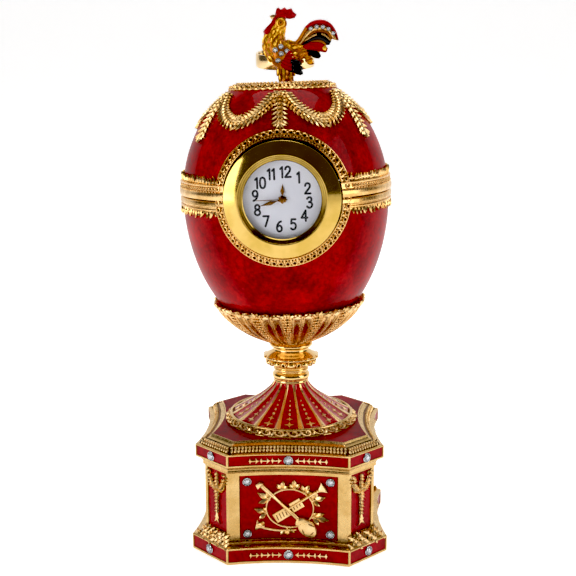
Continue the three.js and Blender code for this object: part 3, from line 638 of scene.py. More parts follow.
def lute(shape):
    """A long-necked lute laid across the sheets, its body at the lower right."""
    share, lean = np.linspace(0, 1, 20), -math.pi / 4
    neck = [(-9.2 + 13.6 * t, 25.9 - 13.2 * t) for t in share]
    strand(shape, on_front(neck, -0.1), 0.55 + 0.22 * abs(1 - 2 * share), 0.7, 3)
    head = pillow_form(bar_outline(1.5, 1.0, -0.7, 0.9))
    stamp(shape, head, side_spot(0, -9.9, 26.2, 0.0), (1, 1, 0.7), 3, lean)
    for x, z, wide, long, count, thick in ((6.2, 10.9, 2.75, 4.1, 28, 1.25), (3.9, 13.1, 2.0, 1.5, 20, 1.2)):
        body = pillow_form(ellipse_outline(wide, long, count))
        stamp(shape, body, side_spot(0, x, z, 0.0), (1, 1, thick), 3, lean)
    # Dark slivers sunk into the body: painted shade along the strings
    for x, z, aside, long in ((4.9, 9.9, 0.35, 1.2), (7.5, 12.3, -0.35, 1.2), (6.1, 10.6, 0, 1.5),
                              (6.6, 11.1, 0, 1.5), (7.8, 9.3, 1.57, 0.9)):
        string = pillow_form(ellipse_outline(0.24, long, 12))
        stamp(shape, string, side_spot(0, x, z, -1.05), (1, 1, 0.24), 2, lean + aside)


def build_plinth():
    """Foot slab, body and cornice slab in one casting. The groove between foot and body and the slope above the
    cornice's edge are painted with shade, and so are the walls round the enamel fields."""
    shape = Shape()
    # shaded: rows painted with shade, the groove under the body and the slope above the cornice
    deep, slab_deep, shaded = 0.4, 0.22, (8, 9, 35, 36, 37, 38)
    body_field = (FIELD["half"], CORNER_FIELD["half"])
    foot_field, cornice_field = ((size["half"] - 0.6, (size["out"] - size["half"]) / math.sqrt(2) - 0.6)
                                 for size in (FOOT, CORNICE))
    rows = slab_rows(FOOT, foot_field, [
        (0.0, -0.2, -0.35), (0.3,), (0.95,), (1.05, 0, 0, slab_deep, slab_deep),
        (5.15, 0, 0, slab_deep, slab_deep), (5.25,), (5.6,), (5.82, -0.1, -0.3)])
    rows += slab_rows(FOOT, body_field, [(5.86, -0.2, -2.2)])
    rows += slab_rows(BODY, body_field, [
        (6.0, 0.3, 1.9), (6.35, 0.3, 1.6), (6.6, 0.15, 0.7), (6.75,), (FIELD["bottom"] - 0.1,),
        (FIELD["bottom"], 0, 0, deep), (CORNER_FIELD["bottom"] - 0.1, 0, 0, deep),
        (CORNER_FIELD["bottom"], 0, 0, deep, deep), (FIELD["top"], 0, 0, deep, deep),
        (FIELD["top"] + 0.1, 0, 0, 0, deep), (CORNER_FIELD["top"], 0, 0, 0, deep), (CORNER_FIELD["top"] + 0.1,),
        (30.7,), (31.0, 0.1, 0.5), (31.5, 0.1, 0.75), (31.9, 0.1, 0.6), (32.6, 0.1, 0.9), (33.3, 0.1, 1.7)])
    rows += slab_rows(CORNICE, cornice_field, [
        (0, 0, -0.5), (0.3,), (0.75,), (0.85, 0, 0, slab_deep, slab_deep)], CORNICE["bottom"])
    rows += slab_rows(CORNICE, cornice_field, [
        (-0.5, 0, 0, slab_deep, slab_deep), (-0.4,), (-0.15,), (0, -0.1, -0.2), (0.05, -0.3, -1.5),
        (0.1, -0.35, -1.8), (1.0, -0.6, -2.7), (1.6, -0.8, -3.2), (1.65, -1.0, -4.0)], CORNICE["top"])
    octagon(shape, rows, painted_shade_rows=shaded)
    slab_arrows(shape, FOOT, FOOT_MIDDLE)
    slab_arrows(shape, CORNICE, CORNICE_MIDDLE)
    for corner in range(4):
        wreath(shape, corner)
        festoon(shape, corner)
    trophy(shape)
    half, out, top = CORNICE["half"], CORNICE["out"], CORNICE["top"]
    for place in along_plan(half - 0.4, out - 2.2, top + 0.62, slope=0.55):
        stamp(shape, pillow_form(ellipse_outline(0.43, 0.72, 8)), place, (1, 1, 0.62), 3)
    for place in along_plan(half - 0.6, out - 2.85, top + 1.45, slope=0.9):
        stamp(shape, BEAD, place, 0.52, 3)
    finishes = [PALE_GOLD, CASE_RED, SHADE, RELIEF_HIGHLIGHT_GOLD]
    shape.make("plinth_casting", finishes, "plinth_casting", replaces=["plinth"])


# Pedestal

def build_pedestal():
    """The stepped plate with its red field, the wave-scroll ring and the skirt, in one casting."""
    shape = Shape()
    half, out = PLATE["half"], PLATE["out"]
    fields = (half - 0.7, (out - half) / math.sqrt(2) - 0.4)
    octagon(shape, slab_rows(PLATE, fields, [
        (39.95, 0.6, 1.3), (40.15, 0.3, 0.9), (40.5, 0.1, 0.1), (40.7,), (41.1,),
        (41.25, -0.05, -0.1), (41.25, -0.2, -0.45)]), wall=0)
    columns = plan_columns(half - 0.25, out - 0.5, *fields)
    shape.add(*lofted([plan(half - 0.2, out - 0.45, z, *columns) for z in (40.9, 41.3)]), 1)
    # The ring under the waves takes the dark gold: painted shade behind them
    ring_profile = [(20.5, 41.0), (22.7, 41.0), (22.8, 41.6), (22.3, 42.4), (21.7, 43.1), (21.2, 43.4),
                    (20.5, 43.2)]
    points, faces = turned(ring_profile, 128)
    shape.add(points, faces[:, ::-1], 3)
    scroll_ring(shape)
    skirt(shape)
    finishes = [PALE_GOLD, PLATE_RED, RELIEF_HIGHLIGHT_GOLD, SHADE, SKIRT_RED, HOLLOW_SHADE]
    shape.make("skirted_pedestal", finishes, "skirt_casting", replaces=["pedestal"])


def scroll_ring(shape):
    """Running waves round the foot of the skirt, each curling round an eye painted dark as shade, with a small
    bead.
    """
    radius, height = 22.0, 42.35
    wave = smooth_profile([(-2.6, 1.0), (-1.9, 0.1), (-0.9, -0.95), (0.35, -1.1), (1.05, -0.35), (0.8, 0.55),
                           (0.05, 0.75), (-0.45, 0.25), (-0.2, -0.25)], 4)
    width = np.interp(np.linspace(0, 1, len(wave)), [0, 0.4, 0.75, 1], [0.22, 0.5, 0.36, 0.18])

    def ring_spot(angle, v=0.0):
        origin, right, up, out = round_spot(angle, radius, height, 0.78 / 0.62)
        return origin + up * v * 0.95, right, up, out

    for middle in spread(WAVES, 0.35):
        strand(shape, [ring_spot(middle + u / radius, v) for u, v in wave], width, 0.75, 2)
        place = ring_spot(middle)
        # The eye: a dark disc of painted shade
        stamp(shape, DISC, place, (0.66, 0.52, 0.2), 5, 0, (0.25, -0.1))
        stamp(shape, BEAD, place, (0.3, 0.3, 0.7), 2, 0, (0.25, -0.15))
        between = ring_spot(middle + TURN / WAVES / 2)
        stamp(shape, LAUREL, between, (1.3, 2.0, 1.6), 2, math.radians(62), (-0.9, -0.5))
    for radius_of, z, half in ((22.85, 41.45, 0.28), (21.3, 43.5, 0.5)):
        spots = [round_spot(a + TURN / 4, radius_of, z, 0.8 / 0.6) for a in spread(160)]
        strand(shape, spots, half, half, 0, closed=True)


def skirt_radius(z, foot=(43.7, 21.1), neck=(54.9, 6.1)):
    rise = float(np.clip((z - foot[0]) / (neck[0] - foot[0]), 0, 1))
    return neck[1] + (foot[1] - neck[1]) * (1 - rise) ** 1.45


def flute_depth(radius, depth):
    return depth * min(1, radius / 12)


def arc(share):
    return math.sin(math.pi * share)


def skirt(shape):
    """Enamelled flutes between gold ribs that widen towards the foot."""
    steps, rows = 8, 44
    low, top = 43.4, 55.0
    rings = []
    for t in np.linspace(0, 1, rows):
        z = low + (top - low) * t ** 0.9
        radius = skirt_radius(z)
        half_rib, step = (0.24 + 0.62 * max(0, 1 - t * 3.2) ** 1.6 + 0.08 * (1 - t)) / radius, 0.14 / radius
        ring = []
        for start in spread(RIBS, 0.5):
            ring += [(start - half_rib, 0), (start + half_rib, 0)]
            first, last = start + half_rib + step, start + TURN / RIBS - half_rib - step
            for share in np.linspace(0, 1, steps):
                deep = 0.18 + flute_depth(radius, 0.55) * arc(share) ** 0.8
                ring.append((first + (last - first) * share, deep))
        rings.append([((radius - d) * math.cos(a), (radius - d) * math.sin(a), z) for a, d in ring])
    points, faces = lofted(rings)
    per = steps + 2
    enamelled = [4 if 2 <= c % per < per - 1 else 2 for c in range(per * RIBS)]
    shape.add(points, faces, enamelled * (rows - 1) + [2, 2])
    marks = [(44.55, STAR, (1.75, 1.1)), (45.8, STAR, (1.15, 0.9)), (46.95, BEAD, (0.46, 0.42)),
             (47.95, BEAD, (0.4, 0.38)), (49.0, BEAD, (0.34, 0.34)), (50.2, BEAD, (0.26, 0.28))]
    for angle in spread(RIBS, 1) + TURN / 4:
        for z, form, (width, tall) in marks:
            radius = skirt_radius(z) - flute_depth(skirt_radius(z), 0.52) - 0.18
            place = round_spot(angle, radius, z, (skirt_radius(z - 0.3) - skirt_radius(z + 0.3)) / 0.6)
            stamp(shape, form, place, (width, tall * 1.25, 0.25), 2)


# Knop and cup

def build_knop():
    """The turned stem, with a petalled collar over a row of ring-shaped beads."""
    shape = Shape()
    beads, low, top = 10, 54.95, 70.1
    profile = smooth_profile([(5.9, low), (6.25, 55.4), (6.05, 55.9), (6.45, 56.5), (6.6, 57.3), (6.3, 58.1),
                              (5.55, 58.6), (5.5, 59.0), (6.1, 59.3), (6.15, 59.8), (5.8, 60.2), (6.1, 60.7),
                              (7.4, 61.2), (8.1, 62.0), (8.2, 62.8), (8.6, 63.2), (9.5, 63.8), (9.7, 64.3),
                              (9.2, 64.75), (8.2, 65.25), (7.2, 65.8), (6.5, 66.4), (6.25, 67.0), (6.5, 67.5),
                              (7.2, 67.85), (7.55, 68.3), (7.5, 68.8), (7.0, 69.2), (6.7, 69.5), (6.7, top)], 3)
    points, faces = turned([(0.01, low), *profile.tolist(), (0.01, top)])
    shape.add(points, faces[:, ::-1])
    petal = bead_form(14, 5)
    for angle in spread(beads, 0.55):
        place = round_spot(angle, 8.3, 62.35, -0.15)
        stamp(shape, RING_BEAD, place, (0.98, 0.98, 0.95))
        # A dark disc in the bead's hole: painted shade
        stamp(shape, DISC, place, (0.46, 0.44, 0.3), 1)
        angle += TURN / beads / 2
        stamp(shape, petal, round_spot(angle, 8.0, 62.3), (1.5, 1.0, 1.15))
        stamp(shape, petal, round_spot(angle, 8.9, 64.25), (1.6, 0.6, 1.15))
        # A dark slit between the petals: painted shade
        stamp(shape, DISC, round_spot(angle, 8.6, 63.35, -0.6), (1.5, 0.2, 0.2), 1)
    shape.make("knop_casting", [KNOP_GOLD, HOLLOW_SHADE], "gilt_casting", replaces=["knop"], sharp=50)


CUP_PROFILE = [(6.9, 69.75), (7.9, 70.1), (12.0, 71.9), (15.4, 73.7), (18.2, 75.6), (20.6, 77.6), (22.65, 79.6),
               (24.4, 81.8), (25.5, 84.0)]


def build_cup():
    """Fifteen beaded panels with a jagged crest, and two hollow flutes between each two, which carry a painted
    reflection of the red egg.
    """
    shape = Shape()
    lobes, per = 45, 10
    around = lobes * per
    curve = smooth_profile(CUP_PROFILE, 5)
    step = TURN / lobes
    angle = spread(around) - step / 2
    phase = (np.arange(around) % per + 0.5) / per
    beaded = (np.arange(around) // per) % 3 == 0
    crest = 1.35 * np.abs(np.sin(math.pi * phase)) ** 0.7 - 0.75
    edge = np.exp(-(np.minimum(phase, 1 - phase) / 0.14) ** 2)
    total = len(curve)

    def cup_ring(radius, height):
        return np.stack([radius * np.sin(angle), -radius * np.cos(angle), np.broadcast_to(height, around)], -1)

    rows = []
    for t, (radius, z) in zip(np.linspace(0, 1, total), curve):
        deep = 0.85 * t ** 0.6
        hollow_depth = np.where(beaded, 0.12 * deep, deep * (1 - edge) * (1 - 0.5 * max(0, t - 0.8) / 0.2))
        lip = np.where(beaded, 0.1, 0.35 * (1 - edge)) * max(0, t - 0.85) / 0.15
        rows.append(cup_ring(radius - hollow_depth + 0.25 * deep * edge + lip, z + crest * t ** 7))
    for z in (84.0, 80.0, 76.0, 73.0, 71.4):
        height = z + crest * (z == 84.0)
        rows.append(cup_ring(egg_radius(height) + 0.35, height))
    points, faces = lofted(rows)
    finish = np.zeros(len(faces), int)
    # Faces of the hollow flutes, which take the painted reflection of the red egg
    place, row = np.arange(around) % per, np.arange(4, total - 9)
    red = ~beaded & (place >= 2) & (place < per - 2) & (row[:, None] < total - 8 - 1.6 * np.abs(place - 4.5))
    finish[row[0] * around:(row[-1] + 1) * around] = red.ravel()
    shape.add(points, faces, finish.tolist())

    def cup_spot(a, t, rise=0.0):
        at = t * (total - 1)
        i = min(total - 2, int(at))
        radius, z = curve[i] + (curve[i + 1] - curve[i]) * (at - i)
        along = (curve[i + 1] - curve[i]) / np.linalg.norm(curve[i + 1] - curve[i])
        normal = outward(a) * along[1] - (0, 0, along[0])
        return spot(outward(a) * radius + (0, 0, z) + normal * rise, normal)

    rng = np.random.default_rng(3)
    for k in range(lobes):
        middle = k * step
        if k % 3 == 0:
            for row in range(13):
                t = 0.2 + 0.76 * row / 12
                count, reach = (4, 0.36) if row > 8 else (3, 0.28) if row > 4 else (2, 0.17)
                for share in np.linspace(-reach, reach, count):
                    place = cup_spot(middle + (share + rng.uniform(-0.04, 0.04)) * step, t, -0.05)
                    radius = np.interp(t, np.linspace(0, 1, total), curve[:, 0])
                    size = radius * step * (0.125 if row > 4 else 0.15)
                    stamp(shape, BEAD, place, (size, size, 0.55))
                # A dark dot among the beads: painted shade
                place = cup_spot(middle + rng.choice((-0.25, 0.05, 0.3)) * step, t + 0.02)
                stamp(shape, DISC, place, (0.25, 0.25, 0.18), 2)
            for lean, tall in ((-0.9, 2.4), (0.9, 2.4), (-0.3, 2.2), (0.3, 2.2)):
                stamp(shape, LAUREL, cup_spot(middle, 0.965), (1.15, tall, 1.6), 3, lean, (lean, -0.2))
        else:
            for side in (-1, 1):
                path = [cup_spot(middle + side * step * 0.46, t, 0.1) for t in np.linspace(0.1, 0.93, 9)]
                strand(shape, path, np.linspace(0.16, 0.3, 9), 0.35)
            stamp(shape, LAUREL, cup_spot(middle, 0.9, 0.1), (2.9, 2.0, 1.4), 3)
            for lean in (-1, 1):
                crown = cup_spot(middle, 0.985)
                stamp(shape, LAUREL, crown, (1.0, 1.4, 1.4), 3, lean * 1.05, (lean * 0.25, 0.1))
    finishes = [CUP_GOLD, FLUTE_EGG_REFLECTION, HOLLOW_SHADE, RELIEF_HIGHLIGHT_GOLD]
    shape.make("leaf_cup", finishes, "gilt_casting", replaces=["cup"], lean=True, sharp=60)


# Egg

def egg_radius(z, inset=0.0):
    z = np.asarray(z, float)
    height = np.where(z > EGG["centre"], EGG["above"], EGG["below"]) - inset
    share = (z - EGG["centre"]) / height
    return (EGG["radius"] - inset) * np.sqrt(np.clip(1 - share * share, 0, 1))


def egg_spot(angle, z, rise=0.0, radius=None):
    """A place on the egg, by its angle round from the clock's side and its height."""
    r = float(egg_radius(z)) if radius is None else radius
    height = EGG["above"] if z > EGG["centre"] else EGG["below"]
    slope = (z - EGG["centre"]) * (EGG["radius"] / height) ** 2 if radius is None else 0.0
    out = outward(angle) * r + (0, 0, slope)
    out /= np.linalg.norm(out)
    return spot(outward(angle) * r + (0, 0, z) + out * rise, out)


def cut_clock_opening(piece):
    """Cuts the round opening for the clock through the front wall."""
    circle = [(OPENING * math.cos(a) + CLOCK_SHIFT, OPENING * math.sin(a) + CLOCK_HEIGHT) for a in spread(128)]
    points, faces = lofted([[(x, y, z) for x, z in circle] for y in (-45.0, -25.0)])
    mesh = bpy.data.meshes.new("opening")
    mesh.from_pydata((leaned(points) * MM).tolist(), [], [list(face) for face in faces])
    edit = bmesh.new()
    edit.from_mesh(mesh)
    bmesh.ops.recalc_face_normals(edit, faces=edit.faces)
    edit.to_mesh(mesh)
    edit.free()
    tool = add_object("opening", mesh)
    modifier = piece.modifiers.new("opening", "BOOLEAN")
    modifier.object, modifier.operation, modifier.solver = tool, "DIFFERENCE", "EXACT"
    bpy.context.view_layer.update()
    cut = bpy.data.meshes.new_from_object(piece.evaluated_get(bpy.context.evaluated_depsgraph_get()))
    piece.modifiers.clear()
    piece.data = cut
    bpy.data.objects.remove(tool)


def hollow(name, node, outside, inside, finishes, segments=192):
    """Half of the egg: a turned wall between an outer and an inner profile, with the clock's opening cut. Each
    outer point names the finish above it."""
    shape = Shape()
    points, faces = turned(outside + inside, segments)
    finish = np.repeat(finishes + [2] * (len(outside + inside) - len(finishes)), segments)
    shape.add(points, faces[:, ::-1], finish.tolist())
    cut_clock_opening(shape.make(name, [EGG_RED, GOLD, POLISHED], "egg_enamel", replaces=[node], lean=True))


def egg_profile(heights, inset=0.0):
    return [(float(egg_radius(z, inset)), z) for z in heights]


def build_shell():
    rim, low = EGG["seam"] - 0.15, EGG["centre"] - EGG["below"]
    fine = egg_profile(low + (rim - 4.2 - low) * np.linspace(0, 1, 60) ** 1.6)
    fine[0] = (0.01, low)
    band = [(35.0, rim - 3.9), (35.3, rim - 3.6), (35.35, rim - 1.9), (35.6, rim - 1.6), (35.9, rim - 1.35),
            (35.9, rim - 0.5), (35.6, rim - 0.1), (35.3, rim)]
    inside = [(33.2, rim)] + egg_profile(np.linspace(rim - 1, low + 2.2, 24), EGG["wall"]) + [(0.01, low + 1.9)]
    hollow("egg_lower", "egg_shell", fine + band, inside, [0] * (len(fine) - 1) + [1] * (len(band) + 1))
    trim = Shape()
    rng = np.random.default_rng(21)
    for k, angle in enumerate(spread(FRINGE, 0.5)):
        if near_clock(angle, rim - 3.8):
            continue
        lean = rng.uniform(-0.35, 0.35)
        long = (2.5 if k % 2 else 1.9) + rng.uniform(-0.2, 0.3)
        place = egg_spot(angle, rim - 3.0, radius=35.15)
        stamp(trim, LAUREL, place, (1.5, long, 1.7), 0, math.pi + lean)
        stamp(trim, LEAF, place, (1.0, 1.5, 1.8), 0, math.pi - lean * 2.5, (0.5, 0.1))
        if k % 2:
            # Dark dots between the leaves: painted shade
            stamp(trim, DISC, egg_spot(angle + TURN / FRINGE, rim - 3.75, radius=35.5), (0.3, 0.34, 0.3), 1)
    for height, half in ((rim - 1.5, 0.5), (rim - 2.75, 0.4)):
        strand(trim, band_path(height, 35.45), half, half)
    trim.make("egg_lower_fringe", [GOLD, HOLLOW_SHADE], "gilt_casting", lean=True)


def near_clock(angle, z, margin=0.4):
    """Whether a place on the egg is under the clock or its collar."""
    x = float(egg_radius(z)) * math.sin((angle + math.pi) % TURN - math.pi)
    return math.cos(angle) > 0 and math.hypot(x - CLOCK_SHIFT, z - CLOCK_HEIGHT) < OPENING + 2.2 + margin


def band_path(z, radius):
    """The path round the egg at one height, from one side of the clock's collar to the other."""
    return [round_spot(a, radius, z) for a in spread(720) if not near_clock(a, z, -0.6)]


def build_lid():
    rim, crown_foot = EGG["seam"] + 0.15, 156.6
    band = [(35.6, rim), (35.85, rim + 0.15), (36.05, rim + 0.8), (36.05, rim + 1.7), (35.8, rim + 2.4),
            (35.5, rim + 2.6), (35.3, rim + 2.8), (35.3, rim + 4.2), (35.7, rim + 4.35), (35.75, rim + 4.7),
            (35.3, rim + 4.9), (34.75, rim + 5.1)]
    fine = egg_profile(np.linspace(rim + 5.6, crown_foot, 56))
    crown = [(17.75, 156.7), (17.2, 157.3), (15.8, 158.3), (15.2, 158.45), (14.6, 158.1), (12.0, 158.1),
             (6.0, 158.35), (0.01, 158.4)]
    top = crown_foot - 1.4
    inside = [(0.01, top)] + egg_profile(np.linspace(top, rim + 1, 24), EGG["wall"]) + [(33.2, rim)]
    finishes = [1] * len(band) + [0] * len(fine) + [1] * len(crown)
    hollow("egg_upper", "egg_lid", band + fine + crown, inside, finishes)
    trim = Shape()
    rng = np.random.default_rng(8)
    beads = 168
    for angle in spread(beads, 0.5):
        if not near_clock(angle, rim + 3.6, 0.2):
            place = egg_spot(angle, rim + 3.65, radius=35.25)
            stamp(trim, RING_BEAD, place, 0.66)
            # A dark disc in each bead's hole: painted shade
            stamp(trim, DISC, place, (0.28, 0.28, 0.14), 1)
            stamp(trim, BEAD, egg_spot(angle + TURN / beads / 2, rim + 2.75, radius=35.4), (0.42, 0.36, 0.45))
    for angle in spread(FRINGE, 0.5):
        if not near_clock(angle, rim + 6, 0.2):
            spike(trim, angle, rim + 4.75, rng)
    strand(trim, band_path(rim + 4.6, 35.3), 0.32, 0.4)
    collar(trim)
    crown_ring(trim)
    trim.make("egg_upper_mounts", [GOLD, HOLLOW_SHADE], "gilt_casting", lean=True)
    build_swags()


def spike(shape, angle, z, rng):
    """One curling tongue of the band's cresting, with an eye of painted shade at its foot."""
    lean = -0.12 + rng.uniform(-0.2, 0.2)
    tall = rng.uniform(2.3, 3.1)
    stamp(shape, LAUREL, egg_spot(angle, z, 0.1), (1.15, tall, 2.0), 0, lean)
    stamp(shape, LEAF, egg_spot(angle, z, 0.2), (0.9, 1.5, 1.8), 0, lean + 0.9, (-0.15, 0.2))
    stamp(shape, DISC, egg_spot(angle + TURN / FRINGE / 2, z + 0.65, 0.1), (0.24, 0.42, 0.25), 1)


def collar_spot(angle, radius, rise=0.0):
    """A place on the egg at an angle round the clock."""
    x, z = CLOCK_SHIFT + radius * math.cos(angle), CLOCK_HEIGHT + radius * math.sin(angle)
    return egg_spot(math.asin(float(np.clip(x / egg_radius(z), -1, 1))), z, rise)


def collar(shape):
    """Ring-shaped beads round the clock, with a lower row of small beads inside them. Dark discs in the beads'
    holes and between the small beads are painted shade.
    """
    beads = 60
    for angle in spread(beads, 0.5):
        place = collar_spot(angle, COLLAR_RADIUS + 0.15, 0.4)
        stamp(shape, RING_BEAD, place, (0.98, 0.98, 0.95))
        stamp(shape, DISC, place, (0.4, 0.4, 0.2), 1)
        for share in (0, 0.5):
            small, eye = angle + share * TURN / beads, angle + (share + 0.25) * TURN / beads
            stamp(shape, BEAD, collar_spot(small, OPENING + 0.42, 0.15), (0.42, 0.36, 0.5))
            stamp(shape, DISC, collar_spot(eye, OPENING + 0.55, 0.25), (0.2, 0.24, 0.2), 1)
    for radius, rise, half, height in ((OPENING + 0.08, 0.1, 0.26, 0.5), (COLLAR_RADIUS + 1.0, 0.1, 0.26, 0.5),
                                       (COLLAR_RADIUS - 0.3, 0.0, 1.3, 0.35)):
        strand(shape, [collar_spot(a, radius, rise) for a in spread(180)], half, height, closed=True)


def crown_ring(shape):
    """The openwork ring round the egg's top: beads over leaves with eyes of painted shade, and a scalloped
    foot.
    """
    beads, scallops = 68, 42
    for i in range(beads):
        stamp(shape, BEAD, round_spot(TURN * i / beads, 15.1, 158.35, 1.2), 0.62)
        stamp(shape, DISC, round_spot(TURN * (i + 0.5) / beads, 15.6, 158.15, 1.2), (0.26, 0.26, 0.25), 1)
    for i in range(scallops):
        place = round_spot(TURN * i / scallops, 16.45, 157.75, 1.0)
        stamp(shape, RING_BEAD, place, (0.9, 0.82, 0.8))
        stamp(shape, DISC, place, (0.36, 0.32, 0.16), 1)
        for lean in (-1, 1):
            stamp(shape, LAUREL, round_spot(TURN * (i + 0.5) / scallops, 16.8, 157.85, 1.0), (1.2, 1.5, 1.6), 0,
                  math.pi + lean * 0.8)
    foot = [egg_spot(a, 156.95 - 0.28 * abs(math.cos(a * scallops / 2)), 0.05) for a in spread(8 * scallops)]
    strand(shape, foot, 0.34, 0.5, closed=True)


def garland(shape, points, widths, length=2.7):
    """Laurel laid along a path on the egg: pairs of leaves over a core of painted shade, and small ones down
    its middle.
    """
    places = [egg_spot(a, z, 0.08) for a, z in points]
    strand(shape, places, np.asarray(widths) * 0.2, 0.35, 1)
    for i in range(len(places) - 1):
        origin, right, up, _ = places[i]
        step = places[i + 1][0] - origin
        heading = math.atan2(float(step @ right), float(step @ up))
        half = widths[i] / 2
        for lean in (-1, 1):
            aside, long = lean * half * 0.12, length * (0.62 + 0.27 * half)
            stamp(shape, LAUREL, places[i], (1.25, long, 1.9), 0, heading + lean * 0.86,
                  (aside * math.cos(heading), -aside * math.sin(heading)))
            stamp(shape, LAUREL, egg_spot(*points[i], 0.3), (0.95, long * 0.7, 1.6), 0, heading + lean * 0.4)


def evenly(points, spacing):
    """The same path over the egg, in angle and height, at an even spacing."""
    points = np.asarray(points, float)
    where = np.array([egg_spot(a, z)[0] for a, z in points])
    along = np.concatenate([[0], np.cumsum(np.linalg.norm(np.diff(where, axis=0), axis=1))])
    steps = np.linspace(0, along[-1], max(3, round(along[-1] / spacing) + 1))
    return np.stack([np.interp(steps, along, points[:, i]) for i in range(2)], -1)


def build_swags():
    """Laurel swags hung from the crown, and a drop between each two."""
    shape = Shape()
    step = TURN / SWAGS
    top, bottom, half_span = 155.3, 146.4, math.radians(27)
    for s in range(SWAGS):
        start = s * step
        low = 144.4 if s == 0 else 140.5
        drop = evenly([(start, z) for z in np.linspace(top - 0.6, low + 1.6, 12)], 1.75)
        garland(shape, drop, np.linspace(2.8, 5.2, len(drop)))
        for lean in (-1.0, -0.5, 0, 0.5, 1.0):
            stamp(shape, LAUREL, egg_spot(start, low + 1.9, 0.3), (1.4, 2.6, 1.8), 0, math.pi + lean)
        for end in (-1, 1):
            t = np.linspace(1, -0.04, 40)
            fall = np.sign(t) * np.abs(t) ** 1.75
            loop = evenly(np.stack([start + step / 2 + end * half_span * t,
                                    bottom + (top - bottom) * np.abs(fall)], -1), 1.4)
            garland(shape, loop, np.linspace(3.3, 4.9, len(loop)))
        stamp(shape, DISC, egg_spot(start, top - 0.5, 0), (1.7, 1.3, 0.8), 0)
        for lean in (-1.5, -0.9, -0.3, 0.3, 0.9, 1.5):
            stamp(shape, LAUREL, egg_spot(start, top + 0.1, 0.55), (1.25, 1.9, 1.4), 0, math.pi + lean)
    shape.make("swags", [RELIEF_HIGHLIGHT_GOLD, SHADE], "gilt_casting", lean=True)


# Clock

def clock_part(name, node, slot, materials, profile, finish=0, segments=128, sharp=38, extra=None):
    """A part turned about the clock's axis, from a closed profile of (radius, depth behind the front)."""
    shape, radius, y = Shape(), *np.array(profile, float).T[:, :, None]
    x = CLOCK_SHIFT + radius * np.cos(spread(segments))
    z = CLOCK_HEIGHT + radius * np.sin(spread(segments))
    y = np.repeat(CLOCK_FRONT + y, segments, axis=1)
    finish = np.repeat(finish, segments).tolist() if isinstance(finish, list) else finish
    shape.add(np.stack([x, y, z], -1), quads(len(profile), segments, around=True, loop=True)[:, ::-1], finish)
    if extra:
        extra(shape)
    shape.make(name, materials, slot, replaces=[node], lean=True, sharp=sharp)


def build_clock():
    # The bezel's outer bevel takes the polished gold, its inner steps the darker copy of it: painted shade
    clock_part("bezel_ring", "bezel", "polished_gold", [POLISHED, SHADED_LIP_GOLD], [
        (18.4, 5.6), (18.4, 1.7), (18.28, 1.5), (18.0, 1.36), (14.35, 0.07), (14.1, 0.01), (13.85, 0.05),
        (13.7, 0.25), (13.62, 0.6), (13.1, 0.75), (13.0, 1.05), (12.5, 1.15), (12.25, 1.4), (12.2, 2.6),
        (13.3, 3.1), (13.4, 5.6)], [0] * 8 + [1] * 8, 160, sharp=24)
    clock_part("clock_dial", "dial", "dial_card", [DIAL, INK_AND_FACET_REFLECTION],
               [(0.01, DIAL_DEPTH + 0.4), (12.8, DIAL_DEPTH + 0.4), (12.8, DIAL_DEPTH), (0.01, DIAL_DEPTH)],
               extra=lambda shape: numerals(shape, CLOCK_FRONT + DIAL_DEPTH))
    clock_part("clock_glass", "glass", "clock_glass", [GLASS],
               [(0.01, 1.9), (11.6, 1.9), (11.85, 2.0), (11.85, 2.6), (0.01, 2.6)])


# Strokes of each figure in a box one high; the first mark tells straight strokes from curved ones
FIGURES = {
    "0": [("curve", [(0, 0.5), (-0.2, 0.38), (-0.27, 0), (-0.2, -0.38), (0, -0.5), (0.2, -0.38), (0.27, 0),
                     (0.2, 0.38), (0, 0.5)])],
    "1": [("line", [(-0.15, 0.3), (0.04, 0.47), (0.04, -0.5)])],
    "2": [("curve", [(-0.24, 0.26), (-0.17, 0.43), (0.02, 0.5), (0.2, 0.41), (0.24, 0.22), (0.14, 0.0),
                     (-0.08, -0.24), (-0.27, -0.47)]), ("line", [(-0.27, -0.47), (0.29, -0.47)])],
    "3": [("curve", [(-0.24, 0.36), (-0.07, 0.49), (0.13, 0.46), (0.2, 0.28), (0.12, 0.11), (-0.06, 0.04)]),
          ("curve", [(-0.06, 0.04), (0.16, -0.01), (0.26, -0.2), (0.17, -0.42), (-0.05, -0.5),
                     (-0.26, -0.37)])],
    "4": [("line", [(0.14, -0.5), (0.14, 0.48), (-0.29, -0.2), (0.31, -0.2)])],
    "5": [("line", [(0.23, 0.47), (-0.16, 0.47), (-0.21, 0.07)]),
          ("curve", [(-0.21, 0.07), (0, 0.14), (0.19, 0.05), (0.26, -0.17), (0.17, -0.42), (-0.05, -0.5),
                     (-0.25, -0.39)])],
    "6": [("curve", [(0.19, 0.45), (0.0, 0.36), (-0.17, 0.14), (-0.25, -0.16), (-0.17, -0.42), (0.01, -0.5),
                     (0.19, -0.41), (0.25, -0.2), (0.17, -0.01), (0, 0.06), (-0.16, -0.02), (-0.24, -0.17)])],
    "7": [("line", [(-0.27, 0.46), (0.27, 0.46), (-0.08, -0.5)])],
    "8": [("curve", [(0, 0.03), (-0.19, 0.13), (-0.2, 0.36), (0, 0.49), (0.2, 0.36), (0.19, 0.13), (0, 0.03),
                     (-0.22, -0.1), (-0.25, -0.36), (0, -0.5), (0.25, -0.36), (0.22, -0.1), (0, 0.03)])],
}
FIGURES["9"] = [(kind, [(-x, -y) for x, y in points]) for kind, points in FIGURES["6"]]


